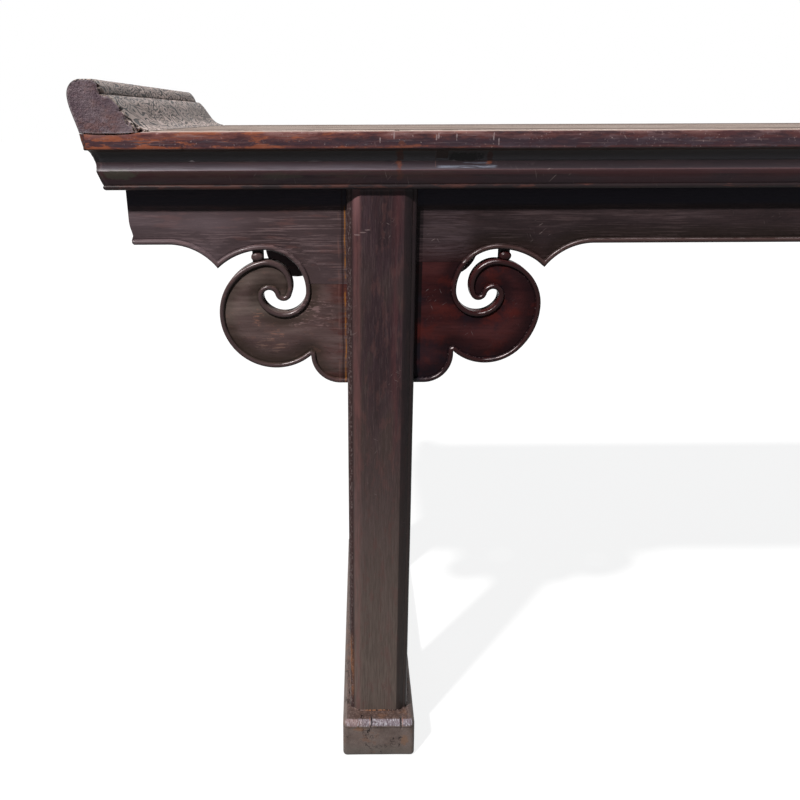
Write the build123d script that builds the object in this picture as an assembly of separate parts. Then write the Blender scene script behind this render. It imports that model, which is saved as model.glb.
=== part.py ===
from build123d import *
import os
from math import acos, asin, cos, degrees, radians, sin

# Altar table with everted flanges, cloud-scroll spandrels and sled-foot base rails.
# Origin: floor level under the middle of the top. X runs along the table, the front faces -Y, Z is up.
# Heights are above the floor unless a name says otherwise.

# Top frame
top_length = 2382.0
top_depth = 560.0
top_height = 900.0
edge_height = 66.0
edge_setback = 17.0
stile_width = 92.0
corner_cap = 5.5
frame_tenon_length = 42.0
frame_tenon_width = 30.0
frame_tenon_height = 20.0
frame_tenon_inset = 44.0
frame_tenon_drop = 36.0

# Moulded edge, as depth below the top and setback from the widest line
arris_radius = 3.0
band_depth = 20.0
band_lean = 0.8
cove_start = 5.0
cove_floor = 10.8
cove_floor_depth = 30.0
cove_end = 9.4
cove_end_depth = 40.0
fascia_middle = 12.2
fascia_middle_depth = 51.0
fascia_end = 16.0
fascia_end_depth = 60.5
bead_crown = 14.8
bead_crown_depth = 63.0

# Everted flange, as distance in from the end of the top and height above it
flange_height = 55.0
flange_lean = 9.0
flange_lean_height = 37.0
flange_crown = 8.0
flange_lip = 21.0
flange_step = 32.0
flange_step_height = 39.0
flange_ledge = 6.0
flange_toe = 80.0
flange_seat = 3.0
flange_seat_length = 72.0

# Floating top boards
panel_thickness = 26.0
tongue_thickness = 10.0
tongue_length = 10.0
tongue_rise = 8.0
board_tongue = 8.0
panel_gap = 0.5

# Transverse braces under the boards
brace_count = 5
brace_spacing = 364.0
brace_width = 46.0
brace_height = 36.0
brace_tenon = 20.0
brace_tenon_width = 30.0
brace_tenon_height = 18.0
dovetail_height = 8.0
dovetail_neck = 24.0
dovetail_flare = 4.0

# Legs
leg_inset = 344.0
leg_setback = 22.0
leg_width = 86.0
leg_depth = 60.0
leg_corner = 5.0
leg_front_cheek = 14.0
leg_tenon_length = 24.0
leg_tenon_width = 50.0
leg_front_tenon = 9.0
leg_rear_tenon = 14.0
foot_tenon_length = 40.0
foot_tenon_width = 44.0
foot_tenon_depth = 28.0

# Aprons and spandrels
board_thickness = 22.0
apron_height = 67.0
apron_inset = 36.5
apron_tongue = 6.0
apron_tongue_thickness = 8.0
outer_seam_drop = 116.0
inner_seam_drop = 89.0
spandrel_drop = 247.0

# Arch and shoulder of the apron, out from the leg's centre line
arch_crown_out = 145.3
arch_crown_drop = 74.0
arch_radius = 86.0
arch_sweep = 42.6
shoulder_radius = 74.0

# Cloud scroll: radius and sweep of each tangent arc, from the arch's crown to the lower cusp
throat_radius = 50.7
throat_sweep = 90.0
mouth_radius = 28.5
mouth_sweep = 140.6
curl_radius = 17.0
curl_sweep = 39.4
eye_radius = 8.0
eye_sweep = 166.2
tip_radius = 10.5
tip_sweep = 144.7
hook_radius = 32.5
hook_sweep = 124.7
volute_radius = 70.0
volute_sweep = 206.7
lobe_radius = 38.0

# The inner front volute is fuller: three arcs in place of one, after a shorter hook
inner_hook_sweep = 111.5
inner_crown_radius = 59.0
inner_crown_sweep = 90.0
inner_flank_radius = 80.0
inner_flank_sweep = 45.0
inner_belly_radius = 62.0
inner_belly_sweep = 87.0

# The rear volutes are smaller
rear_volute_radius = 55.0

# Link bead between volute and arch
link_out = 154.0
link_width = 14.0
link_depth = 12.0
link_recess = 8.0
bead_radius = 5.6
bead_recess = 1.0
bead_drop = 81.5

# Base rails
rail_width = 108.0
rail_height = 66.0
rail_length = 562.0
rail_rounding = 8.0
rail_pad = 140.0
rail_relief = 14.0

# Side stretchers and inset rings
stretcher_width = 34.0
stretcher_height = 44.0
stretcher_drop = 100.0
stretcher_tenon = 22.0
stretcher_tenon_width = 14.0
stretcher_tenon_height = 30.0
ring_width = 46.0
ring_thickness = 16.0
ring_corner = 40.0

# Fits
tenon_clearance = 0.2
slot_clearance = 0.1

# Worked-out sizes
half_length = top_length / 2
half_depth = top_depth / 2
top_bottom = top_height - edge_height
end_rail_width = stile_width + corner_cap
panel_bottom = top_height - panel_thickness
leg_x = half_length - leg_inset
leg_front = half_depth - leg_setback
leg_back = leg_front - leg_depth
apron_front = leg_front - leg_front_cheek
apron_back = apron_front - board_thickness
apron_end = half_length - apron_inset
apron_bottom = top_bottom - apron_height
spandrel_bottom = top_bottom - spandrel_drop
arch_crown = top_bottom - arch_crown_drop
throat_center = arch_crown - throat_radius
bead_height = top_bottom - bead_drop
stretcher_top = top_bottom - stretcher_drop

sides = {"left": -1, "right": 1}
faces = {"front": -1, "rear": 1}


def block(width, depth, height, x, y, bottom):
    """Box with its centre over (x, y) and its underside at the given height."""
    return Pos(x, y, bottom + height / 2) * Box(width, depth, height)


def flip(shape, side):
    """The shape itself on the positive side, or its mirror image across the YZ plane."""
    return shape if side > 0 else mirror(shape, Plane.YZ)


def plan_prism(points):
    """Tall prism over an outline drawn in plan."""
    face = make_face(Polyline(*points, close=True))
    return extrude(face, amount=2 * top_height)


def moulded_section(half_span, plane):
    """Cross-section of the whole top, with the moulded edge on both sides."""

    def at(setback, depth):
        return (half_span - setback, top_height - depth)

    with BuildSketch(plane) as section:
        with BuildLine():
            Line((0, top_height), at(arris_radius, 0))
            RadiusArc(at(arris_radius, 0), at(0, arris_radius), arris_radius)
            Line(at(0, arris_radius), at(band_lean, band_depth))
            Line(at(band_lean, band_depth), at(cove_start, band_depth + 1))
            ThreePointArc(
                at(cove_start, band_depth + 1),
                at(cove_floor, cove_floor_depth),
                at(cove_end, cove_end_depth),
            )
            ThreePointArc(
                at(cove_end, cove_end_depth),
                at(fascia_middle, fascia_middle_depth),
                at(fascia_end, fascia_end_depth),
            )
            ThreePointArc(
                at(fascia_end, fascia_end_depth),
                at(bead_crown, bead_crown_depth),
                at(edge_setback, edge_height),
            )
            Line(at(edge_setback, edge_height), (0, top_bottom))
            mirror(about=Plane.YZ)
        make_face()
    return section.sketch


def moulded_top():
    """The whole top as one block, mitred at the corners, before it is divided into pieces."""
    along_x = extrude(moulded_section(half_depth, Plane.YZ), amount=half_length, both=True)
    along_y = extrude(moulded_section(half_length, Plane.XZ), amount=half_depth, both=True)
    return along_x & along_y


def groove_cutter():
    """Slab that leaves the panel groove on the inner faces of the frame."""
    reach = 2 * (tongue_length + panel_gap)
    length = top_length - 2 * end_rail_width + reach
    depth = top_depth - 2 * stile_width + reach
    return block(length, depth, tongue_thickness, 0, 0, panel_bottom + tongue_rise)


def apron_tongues(clearance):
    """Tongue along the top of all four aprons, or the groove for it when a clearance is given."""
    thickness = apron_tongue_thickness + 2 * clearance
    middle_y = (apron_front + apron_back) / 2
    middle_x = apron_end - board_thickness / 2
    height = apron_tongue + clearance
    outer = block(2 * middle_x + thickness, 2 * middle_y + thickness, height, 0, 0, top_bottom)
    inner = block(2 * middle_x - thickness, 2 * middle_y - thickness, height, 0, 0, top_bottom)
    return outer - inner


def leg_tenons(clearance):
    """Both tenons on the head of a leg, centred on the leg at the front."""
    width = leg_tenon_width + 2 * clearance
    height = leg_tenon_length + clearance
    front_y = -(leg_front - leg_front_cheek / 2)
    rear_cheek = leg_depth - leg_front_cheek - board_thickness
    rear_y = -(leg_back + rear_cheek / 2)
    front = block(width, leg_front_tenon + 2 * clearance, height, 0, front_y, top_bottom)
    rear = block(width, leg_rear_tenon + 2 * clearance, height, 0, rear_y, top_bottom)
    return [front, rear]


def brace_tenons(clearance):
    """The stub tenons of all braces, as they enter the front stile."""
    y = -(half_depth - stile_width + brace_tenon / 2)
    bottom = panel_bottom - brace_height + (brace_height - brace_tenon_height) / 2 - clearance
    return [
        block(
            brace_tenon_width + 2 * clearance,
            brace_tenon + 2 * clearance,
            brace_tenon_height + 2 * clearance,
            x,
            y,
            bottom,
        )
        for x in brace_positions()
    ]


def brace_positions():
    return [(i - (brace_count - 1) / 2) * brace_spacing for i in range(brace_count)]


def frame_tenon(clearance):
    """Tenon of the front stile's right end, which enters the end rail."""
    y = -(half_depth - frame_tenon_inset - frame_tenon_width / 2)
    root = half_length - corner_cap - frame_tenon_inset - frame_tenon_width - frame_tenon_width / 2
    tip = half_length - corner_cap - frame_tenon_inset + frame_tenon_length / 2 + clearance
    return block(
        tip - root,
        frame_tenon_width + 2 * clearance,
        frame_tenon_height + 2 * clearance,
        (tip + root) / 2,
        y,
        top_height - frame_tenon_drop - frame_tenon_height - clearance,
    )


def flange():
    """Everted flange at the right end, over the full depth, with its shallow seat in the frame."""

    def at(inward, rise):
        return (half_length - inward, top_height + rise)

    ledge = at(flange_step + flange_ledge, flange_step_height - 1)
    with BuildSketch(Plane.XZ) as section:
        with BuildLine():
            Line(at(0, -flange_seat), at(0, 0))
            Spline(
                at(0, 0),
                at(-flange_lean * 0.7, flange_height * 0.33),
                at(-flange_lean, flange_lean_height),
                at(flange_crown, flange_height),
                tangents=[(0.2, 1), (-1, 0.05)],
            )
            Line(at(flange_crown, flange_height), at(flange_lip, flange_height))
            ThreePointArc(
                at(flange_lip, flange_height),
                at((flange_lip + flange_step) / 2 + 1.5, (flange_height + flange_step_height) / 2 + 1.5),
                at(flange_step, flange_step_height),
            )
            Line(at(flange_step, flange_step_height), ledge)
            Spline(
                ledge,
                at((flange_step + flange_toe) / 2, flange_step_height * 0.4),
                at(flange_toe, 0),
                tangents=[(-1, -0.7), (-1, -0.1)],
            )
            Line(at(flange_toe, 0), at(flange_seat_length, 0))
            Line(at(flange_seat_length, 0), at(flange_seat_length, -flange_seat))
            Line(at(flange_seat_length, -flange_seat), at(0, -flange_seat))
        make_face()
    return extrude(section.sketch, amount=half_depth, both=True)


def mitre_line(spare):
    """Outer and inner end of the front right mitre in plan, run past the edge by spare."""
    outer = (half_length - corner_cap + spare, -half_depth - spare)
    inner = (half_length - end_rail_width, -half_depth + stile_width)
    return outer, inner


def front_stile(whole, raised, groove):
    outer, inner = mitre_line(spare=10)
    stile = whole & plan_prism([outer, inner, (-inner[0], inner[1]), (-outer[0], outer[1])])
    stile -= raised
    stile -= mirror(raised, Plane.YZ)
    tenon = frame_tenon(0)
    stile = stile + tenon + mirror(tenon, Plane.YZ) - groove - apron_tongues(tenon_clearance)
    for side in sides.values():
        for tenon in leg_tenons(tenon_clearance):
            stile -= Pos(side * leg_x, 0, 0) * tenon
    for tenon in brace_tenons(tenon_clearance):
        stile -= tenon
    return stile


def right_end_rail(whole, raised, groove):
    outer, inner = mitre_line(spare=10)
    beyond = half_length + end_rail_width
    near = [outer, inner]
    far = [(inner[0], -inner[1]), (outer[0], -outer[1])]
    rail = whole & plan_prism(near + far + [(beyond, -outer[1]), (beyond, outer[1])])
    mortise = frame_tenon(tenon_clearance)
    rail = rail + raised - groove - apron_tongues(tenon_clearance)
    return rail - mortise - mirror(mortise, Plane.XZ)


def dovetails():
    """The dovetail ridges of the braces, as they run through the boards."""
    run = half_depth - stile_width - panel_gap
    ridges = []
    for x in brace_positions():
        neck = dovetail_neck / 2
        crown = neck + dovetail_flare
        top = panel_bottom + dovetail_height
        outline = [(x - neck, panel_bottom), (x + neck, panel_bottom), (x + crown, top), (x - crown, top)]
        ridges.append(extrude(Plane.XZ * make_face(Polyline(*outline, close=True)), amount=run, both=True))
    return ridges


def top_boards(ridges):
    """Front and rear floating boards, tongued into the frame and into each other."""
    length = top_length - 2 * end_rail_width - 2 * panel_gap
    depth = top_depth - 2 * stile_width - 2 * panel_gap
    tongue_bottom = panel_bottom + tongue_rise
    boards = block(length, depth, panel_thickness, 0, 0, panel_bottom)
    reach = 2 * tongue_length
    boards += block(length + reach, depth + reach, tongue_thickness, 0, 0, tongue_bottom)
    for ridge in ridges:
        boards -= ridge
    below = panel_bottom - panel_thickness / 2
    front_half = block(top_length, top_depth, 2 * panel_thickness, 0, -half_depth, below)
    middle = block(length, 2 * board_tongue, tongue_thickness, 0, 0, tongue_bottom)
    front = (boards & front_half) + (boards & middle)
    groove = block(top_length, 2 * (board_tongue + panel_gap), tongue_thickness, 0, 0, tongue_bottom)
    return {"front_top_board": front, "rear_top_board": boards - front_half - groove}


def brace(index, ridge):
    span = top_depth - 2 * stile_width
    x = brace_positions()[index]
    bar = block(brace_width, span, brace_height, x, 0, panel_bottom - brace_height)
    tenon = brace_tenons(0)[index]
    return bar + ridge + tenon + mirror(tenon, Plane.XZ)


def tangent_arcs(start, heading, steps):
    """Chain of arcs, each tangent to the one before; a positive turn is anticlockwise."""
    arcs = []
    for radius, turn in steps:
        direction = (cos(radians(heading)), sin(radians(heading)))
        arcs.append(JernArc(start=start, tangent=direction, radius=radius, arc_size=turn))
        start = arcs[-1] @ 1
        heading += turn
    return arcs


def throat_angle(seam):
    """Angle on the throat arc at the height of the seam."""
    return 180 - degrees(asin((seam - throat_center) / throat_radius))


def throat_point(angle):
    return (
        arch_crown_out + throat_radius * cos(radians(angle)),
        throat_center + throat_radius * sin(radians(angle)),
    )


def board_solid(edges):
    """Board of the apron's thickness standing on the XZ plane, centred on it."""
    face = make_face(Wire(edges))
    return extrude(Plane.XZ * face, amount=board_thickness / 2, both=True)


def apron_drop(seam):
    """The part of the apron that hangs beside one leg: arch, cusp and ogee shoulder."""
    angle = throat_angle(seam)
    start = throat_point(angle)
    throat = tangent_arcs(start, angle - 90, [(throat_radius, 90 - angle), (arch_radius, -arch_sweep)])
    cusp = throat[-1] @ 1
    climb = degrees(acos((shoulder_radius - (apron_bottom - cusp.Y)) / shoulder_radius))
    shoulder = tangent_arcs(cusp, climb, [(shoulder_radius, -climb)])
    end = shoulder[-1] @ 1
    closing = Polyline((end.X, end.Y), (0, apron_bottom), (0, seam), start)
    return board_solid(throat + shoulder + list(closing.edges()))


outer_volute = [(hook_radius, -hook_sweep), (volute_radius, -volute_sweep)]
inner_volute = [
    (hook_radius, -inner_hook_sweep),
    (inner_crown_radius, -inner_crown_sweep),
    (inner_flank_radius, -inner_flank_sweep),
    (inner_belly_radius, -inner_belly_sweep),
]
rear_volute = [(hook_radius, -hook_sweep), (rear_volute_radius, -volute_sweep)]


def spandrel(seam, volute):
    """Cloud-scroll spandrel board beside one leg, below the seam with the apron."""
    angle = throat_angle(seam)
    scroll = tangent_arcs(
        throat_point(angle),
        angle + 90,
        [
            (throat_radius, 180 - angle),
            (mouth_radius, mouth_sweep),
            (curl_radius, curl_sweep),
            (eye_radius, eye_sweep),
            (tip_radius, -tip_sweep),
        ]
        + volute,
    )
    cusp = scroll[-1] @ 1
    rise = cusp.Y - spandrel_bottom - lobe_radius
    tilt = degrees(asin(rise / lobe_radius))
    lobe = tangent_arcs(cusp, tilt - 90, [(lobe_radius, -90 - tilt)])
    end = lobe[-1] @ 1
    closing = Polyline((end.X, end.Y), (0, spandrel_bottom), (0, seam), throat_point(angle))
    return board_solid(scroll + lobe + list(closing.edges()))


def front_apron(outer_drop, inner_drop):
    strip = block(2 * apron_end, board_thickness, apron_height, 0, 0, apron_bottom)
    for side in sides.values():
        strip += Pos(side * leg_x, 0, 0) * flip(outer_drop, side)
        strip += Pos(side * leg_x, 0, 0) * flip(inner_drop, -side)
    board = Pos(0, -(apron_front + apron_back) / 2, 0) * strip
    outer, inner = apron_corner()
    mitred = plan_prism([outer, inner, (-inner[0], inner[1]), (-outer[0], outer[1])])
    return (board & mitred) + (apron_tongues(0) & mitred)


def apron_corner():
    """Outer and inner end of the aprons' front right mitre in plan."""
    return (apron_end, -apron_front), (apron_end - board_thickness, -apron_back)


def right_end_apron():
    outer, inner = apron_corner()
    mitred = plan_prism([outer, inner, (inner[0], -inner[1]), (outer[0], -outer[1])])
    board = block(2 * board_thickness, 2 * apron_front, apron_height, apron_end, 0, apron_bottom)
    return (board & mitred) + (apron_tongues(0) & mitred)


def front_leg():
    """Front leg over x = 0, with its bridle slot, head tenons, foot tenon and stretcher mortise."""
    middle = -(leg_front + leg_back) / 2
    height = top_bottom - rail_height
    leg = block(leg_width, leg_depth, height, 0, middle, rail_height)
    leg = fillet(leg.edges().filter_by(Axis.Z), leg_corner)
    slot_y = -(apron_front + apron_back) / 2
    slot_width = board_thickness + 2 * slot_clearance
    leg -= block(2 * leg_width, slot_width, spandrel_drop, 0, slot_y, spandrel_bottom)
    for tenon in leg_tenons(0):
        leg += tenon
    leg += foot_tenon(0)
    return leg - stretcher_tenon_block(tenon_clearance)


def foot_tenon(clearance):
    middle = -(leg_front + leg_back) / 2
    return block(
        foot_tenon_width + 2 * clearance,
        foot_tenon_depth + 2 * clearance,
        foot_tenon_length + clearance,
        0,
        middle,
        rail_height - foot_tenon_length - clearance,
    )


def stretcher_tenon_block(clearance):
    return block(
        stretcher_tenon_width + 2 * clearance,
        stretcher_tenon + 2 * clearance,
        stretcher_tenon_height + 2 * clearance,
        0,
        -(leg_back + stretcher_tenon / 2),
        stretcher_top - (stretcher_height + stretcher_tenon_height) / 2 - clearance,
    )


def link_bead(boards):
    """Carved bead with its backing block, fitted between volute and arch on the outward side of a leg."""
    front = -apron_front
    reach = volute_radius
    middle_y = front + link_recess + link_depth / 2
    backing = block(link_width, link_depth, 2 * reach, link_out, middle_y, bead_height - reach)
    for board in boards:
        backing -= board
    core = min(backing.solids(), key=lambda piece: abs(piece.center().Z - bead_height))
    return core + Pos(link_out, front + bead_radius + bead_recess, bead_height) * Sphere(bead_radius)


def base_rail():
    rail = block(rail_width, rail_length, rail_height, 0, 0, 0)
    rail = fillet(rail.edges().group_by(Axis.Z)[-1], rail_rounding)
    relief_length = rail_length - 2 * rail_pad
    relief = block(2 * rail_width, relief_length, 2 * rail_relief, 0, 0, -rail_relief)
    relief = fillet(relief.edges().filter_by(Axis.X).group_by(Axis.Z)[-1], rail_relief * 0.9)
    mortise = foot_tenon(tenon_clearance)
    return rail - relief - mortise - mirror(mortise, Plane.XZ)


def side_stretcher():
    bottom = stretcher_top - stretcher_height
    tenon = stretcher_tenon_block(0)
    bar = block(stretcher_width, 2 * leg_back, stretcher_height, 0, 0, bottom)
    return bar + tenon + mirror(tenon, Plane.XZ)


def ring_boards():
    """Four mitred boards of the open ring that fills the side frame."""
    top = stretcher_top - stretcher_height
    height = top - rail_height
    middle = (top + rail_height) / 2
    outer = Rectangle(2 * leg_back, height)
    opening = RectangleRounded(2 * leg_back - 2 * ring_width, height - 2 * ring_width, ring_corner)
    ring = extrude(Plane.YZ * Pos(0, middle) * (outer - opening), amount=ring_thickness / 2, both=True)
    mitre_run = ring_width + ring_corner
    boards = {}
    for name, turn, half_span, reach in (
        ("front", 180, height / 2, leg_back),
        ("top", 90, leg_back, height / 2),
        ("rear", 0, height / 2, leg_back),
        ("bottom", -90, leg_back, height / 2),
    ):
        outline = [
            (reach, half_span),
            (reach - mitre_run, half_span - mitre_run),
            (reach - mitre_run, mitre_run - half_span),
            (reach, -half_span),
        ]
        face = Rot(0, 0, turn) * make_face(Polyline(*outline, close=True))
        sector = extrude(Plane.YZ * Pos(0, middle) * face, amount=ring_thickness, both=True)
        boards[name] = ring & sector
    return boards


def save(name, shape):
    export_step(shape, f"parts/{name}.step")


def build_top():
    whole = moulded_top()
    raised = flange()
    groove = groove_cutter()
    stile = front_stile(whole, raised, groove)
    rail = right_end_rail(whole, raised, groove)
    save("front_stile", stile)
    save("rear_stile", mirror(stile, Plane.XZ))
    save("right_end_rail", rail)
    save("left_end_rail", mirror(rail, Plane.YZ))
    ridges = dovetails()
    for name, board in top_boards(ridges).items():
        save(name, board)
    for index, ridge in enumerate(ridges):
        save(f"brace_{index + 1}", brace(index, ridge))


def build_aprons():
    seams = {"outer": top_bottom - outer_seam_drop, "inner": top_bottom - inner_seam_drop}
    volutes = {
        ("front", "outer"): outer_volute,
        ("front", "inner"): inner_volute,
        ("rear", "outer"): rear_volute,
        ("rear", "inner"): rear_volute,
    }
    drops = {place: apron_drop(seam) for place, seam in seams.items()}
    apron = front_apron(drops["outer"], drops["inner"])
    save("front_apron", apron)
    save("rear_apron", mirror(apron, Plane.XZ))
    end = right_end_apron()
    save("right_end_apron", end)
    save("left_end_apron", mirror(end, Plane.YZ))
    middle = Pos(0, -(apron_front + apron_back) / 2, 0)
    for (face_name, place), volute in volutes.items():
        board = middle * spandrel(seams[place], volute)
        bead = link_bead([board, middle * drops[place]])
        for side_name, side in sides.items():
            outward = side if place == "outer" else -side
            for kind, piece in (("spandrel", board), ("link_bead", bead)):
                placed = Pos(side * leg_x, 0, 0) * flip(piece, outward)
                if faces[face_name] > 0:
                    placed = mirror(placed, Plane.XZ)
                save(f"{side_name}_{face_name}_{place}_{kind}", placed)


def build_trestles():
    leg = front_leg()
    rail = base_rail()
    stretcher = side_stretcher()
    ring = ring_boards()
    for side_name, side in sides.items():
        place = Pos(side * leg_x, 0, 0)
        save(f"{side_name}_front_leg", place * leg)
        save(f"{side_name}_rear_leg", place * mirror(leg, Plane.XZ))
        save(f"{side_name}_base_rail", place * rail)
        save(f"{side_name}_side_stretcher", place * stretcher)
        for name, board in ring.items():
            save(f"{side_name}_ring_{name}", place * board)


os.makedirs("parts", exist_ok=True)
build_top()
build_aprons()
build_trestles()
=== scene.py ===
from itertools import product
from math import acos, asin, ceil, cos, degrees, pi, radians, sin, sqrt
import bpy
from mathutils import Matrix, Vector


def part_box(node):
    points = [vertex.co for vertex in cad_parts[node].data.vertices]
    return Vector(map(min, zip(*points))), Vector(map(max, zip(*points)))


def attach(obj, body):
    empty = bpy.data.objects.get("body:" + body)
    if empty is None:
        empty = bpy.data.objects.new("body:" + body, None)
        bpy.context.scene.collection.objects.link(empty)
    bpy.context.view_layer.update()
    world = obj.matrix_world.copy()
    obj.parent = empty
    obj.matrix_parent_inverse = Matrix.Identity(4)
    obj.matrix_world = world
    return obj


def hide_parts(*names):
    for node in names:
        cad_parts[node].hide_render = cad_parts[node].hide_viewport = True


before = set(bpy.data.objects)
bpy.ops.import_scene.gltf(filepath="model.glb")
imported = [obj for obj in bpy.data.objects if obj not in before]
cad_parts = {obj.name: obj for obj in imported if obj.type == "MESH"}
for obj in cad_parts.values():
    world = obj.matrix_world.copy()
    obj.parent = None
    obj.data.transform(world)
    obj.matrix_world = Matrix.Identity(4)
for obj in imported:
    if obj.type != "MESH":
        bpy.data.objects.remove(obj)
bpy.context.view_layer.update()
from types import SimpleNamespace
from zlib import crc32
import bmesh
import bpy
import numpy as np
from mathutils import Matrix, Vector, noise
from mathutils.geometry import delaunay_2d_cdt

scene = bpy.context.scene
mm = 0.001  # the mesh code works in millimetres, and each mesh is scaled to metres as it is made
print("frame loaded")

camera = {
    "place": (-0.8835, -1.2202, 0.9158),
    "down": 20.28,
    "turn": 0.28,
    "roll": -0.22,
    "lens": 35.42,
    "shift": (0.0545, 0.0076),
}


def addObject(name, data):
    obj = bpy.data.objects.new(name, data)
    scene.collection.objects.link(obj)
    return obj


def makeCamera(c):
    data = bpy.data.cameras.new("camera")
    data.lens = c["lens"]
    data.sensor_width = 36
    data.shift_x, data.shift_y = c["shift"]
    turn = Matrix.Rotation(radians(-c["turn"]), 4, "Z")
    tilt = Matrix.Rotation(radians(90 - c["down"]), 4, "X")
    roll = Matrix.Rotation(radians(c["roll"]), 4, "Z")
    scene.camera = addObject("camera", data)
    scene.camera.matrix_world = Matrix.Translation(c["place"]) @ turn @ tilt @ roll


# shader helpers: each adds nodes to bench["tree"], the node tree in hand, and gives back an output

bench = {}


class Field:
    # a node's output; + - * / and abs() add Math nodes
    def __init__(self, socket):
        self.socket = socket

    def __abs__(self):
        return calc("ABSOLUTE", self)


for sign, operation in (("add", "ADD"), ("sub", "SUBTRACT"), ("mul", "MULTIPLY"), ("truediv", "DIVIDE")):
    setattr(Field, f"__{sign}__", lambda a, b, kind=operation: calc(kind, a, b))
    setattr(Field, f"__r{sign}__", lambda a, b, kind=operation: calc(kind, b, a))


def feed(socket, value):
    if isinstance(value, Field):
        bench["tree"].links.new(value.socket, socket)
    else:
        socket.default_value = (*value[:3], 1) if socket.type == "RGBA" else value


def addNode(kind, *values, **settings):
    # the values go into the node's first inputs
    made = bench["tree"].nodes.new("ShaderNode" + kind)
    for key, value in settings.items():
        setattr(made, key, value)
    for socket, value in zip(made.inputs, values):
        feed(socket, value)
    return made


def outOf(kind, *values, output=0, **settings):
    return Field(addNode(kind, *values, **settings).outputs[output])


def calc(operation, a, b=0.0):
    return outOf("Math", a, b, operation=operation)


def vectorCalc(operation, a, b, output=0):
    return outOf("VectorMath", a, b, operation=operation, output=output)


def mixColour(share, a, b):
    made = addNode("Mix", share, data_type="RGBA")
    feed(made.inputs[6], a)
    feed(made.inputs[7], b)
    return Field(made.outputs[2])


def above(value, low, high):  # 0 at low, 1 at high
    return outOf("MapRange", value, low, high, interpolation_type="SMOOTHSTEP")


def below(value, low, high):
    return 1 - above(value, low, high)


def within(value, low, high, soft):
    return above(value, low - soft, low + soft) * below(value, high - soft, high + soft)


def fuzz(vector, factors, detail=2, rough=0.5):
    return outOf("TexNoise", vectorCalc("MULTIPLY", vector, factors), 0, 1, detail, rough)


def mottle(vector, factors, low, high, detail=2, rough=0.5):
    return above(fuzz(vector, factors, detail, rough), low, high)


def axes(vector):
    return [Field(socket) for socket in addNode("SeparateXYZ", vector).outputs]


def tint(code):  # "#rrggbb" as seen on screen, to linear
    parts = [int(code[i:i + 2], 16) / 255 for i in (1, 3, 5)]
    return tuple(p / 12.92 if p <= 0.04045 else ((p + 0.055) / 1.055) ** 2.4 for p in parts)


def newGroup(name, outputs=("Mask",), **inputs):
    tree = bench["tree"] = bpy.data.node_groups.new(name, "ShaderNodeTree")
    for label, start in inputs.items():
        kind = "NodeSocketVector" if isinstance(start, tuple) else "NodeSocketFloat"
        tree.interface.new_socket(label, in_out="INPUT", socket_type=kind).default_value = start
    for label in outputs:
        tree.interface.new_socket(label, in_out="OUTPUT", socket_type="NodeSocketFloat")
    given, out = (tree.nodes.new("NodeGroup" + end) for end in ("Input", "Output"))
    return {socket.name: Field(socket) for socket in given.outputs}, out.inputs


def useGroup(name, **values):
    made = bench["tree"].nodes.new("ShaderNodeGroup")
    made.node_tree = bpy.data.node_groups[name]
    for label, value in values.items():
        feed(made.inputs[label], value)
    return {socket.name: Field(socket) for socket in made.outputs}


def maskFrom(name, **values):
    return useGroup(name, **values)["Mask"]


# effects that several finishes share; their Vector is in metres

def makeWoodGrain():  # Vector runs along the grain in X
    outputs = ("Streak", "Cloud", "Patch", "Pores", "Height")
    given, out = newGroup("woodGrain", outputs, Vector=(0, 0, 0), Fineness=1.0)
    drift = (fuzz(given["Vector"], (5, 12, 12)) - 0.5) * 0.012
    bent = vectorCalc("ADD", given["Vector"], outOf("CombineXYZ", 0, drift, drift))
    fine = addNode("VectorMath", bent, operation="SCALE")
    feed(fine.inputs["Scale"], given["Fineness"])
    fine = Field(fine.outputs[0])
    streak = fuzz(fine, (28, 560, 560), 3, 0.62)
    pores = mottle(fine, (120, 1500, 1500), 0.6, 0.72, 1)
    patch = fuzz(bent, (24, 120, 120), 5, 0.68)
    feed(out["Streak"], above(streak, 0.34, 0.66))
    feed(out["Cloud"], mottle(bent, (5, 34, 34), 0.36, 0.66, 3, 0.6))
    feed(out["Patch"], patch)
    feed(out["Pores"], pores)
    feed(out["Height"], streak * 0.6 + patch * 0.5 - pores * 0.35)


def makeRub():  # a mask that follows an edge or groove value and breaks up at its rim
    given, out = newGroup("rub", Vector=(0, 0, 0), Guide=0.0, Amount=1.0, Breakup=0.8)
    rough = (fuzz(given["Vector"], (35, 190, 190), 3, 0.65) - 0.5) * given["Breakup"]
    feed(out["Mask"], above(given["Guide"] * given["Amount"] + rough, 0.3, 0.72))


def makeScuffs():  # thin pale scratches in two directions, in sparse clusters
    given, out = newGroup("scuffs", Vector=(0, 0, 0), Density=0.5)
    x, y, z = axes(given["Vector"])
    across = y + z
    marks = []
    for lean in (0.6, -1.15):
        a, b = cos(lean), sin(lean)
        turned = outOf("CombineXYZ", x * a + across * b, across * a - x * b)
        marks.append(mottle(turned, (70, 760, 1), 0.69, 0.77, 1))
    gate = fuzz(given["Vector"], (16, 24, 24)) + given["Density"] * 0.3
    feed(out["Mask"], calc("MAXIMUM", *marks) * above(gate, 0.62, 0.78))


def makeStain():  # a soft ragged spot; Centre and Radius are in the frame's metres
    given, out = newGroup("stain", Vector=(0, 0, 0), Centre=(0, 0, 0), Radius=(0.01, 0.01, 0.01), Ragged=0.6)
    apart = vectorCalc("DIVIDE", vectorCalc("SUBTRACT", given["Vector"], given["Centre"]), given["Radius"])
    size = vectorCalc("LENGTH", apart, (0, 0, 0), "Value")
    reach = size + (fuzz(given["Vector"], (230, 230, 230), 3, 0.6) - 0.5) * given["Ragged"]
    feed(out["Mask"], below(reach, 0.55, 1.0))


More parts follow.
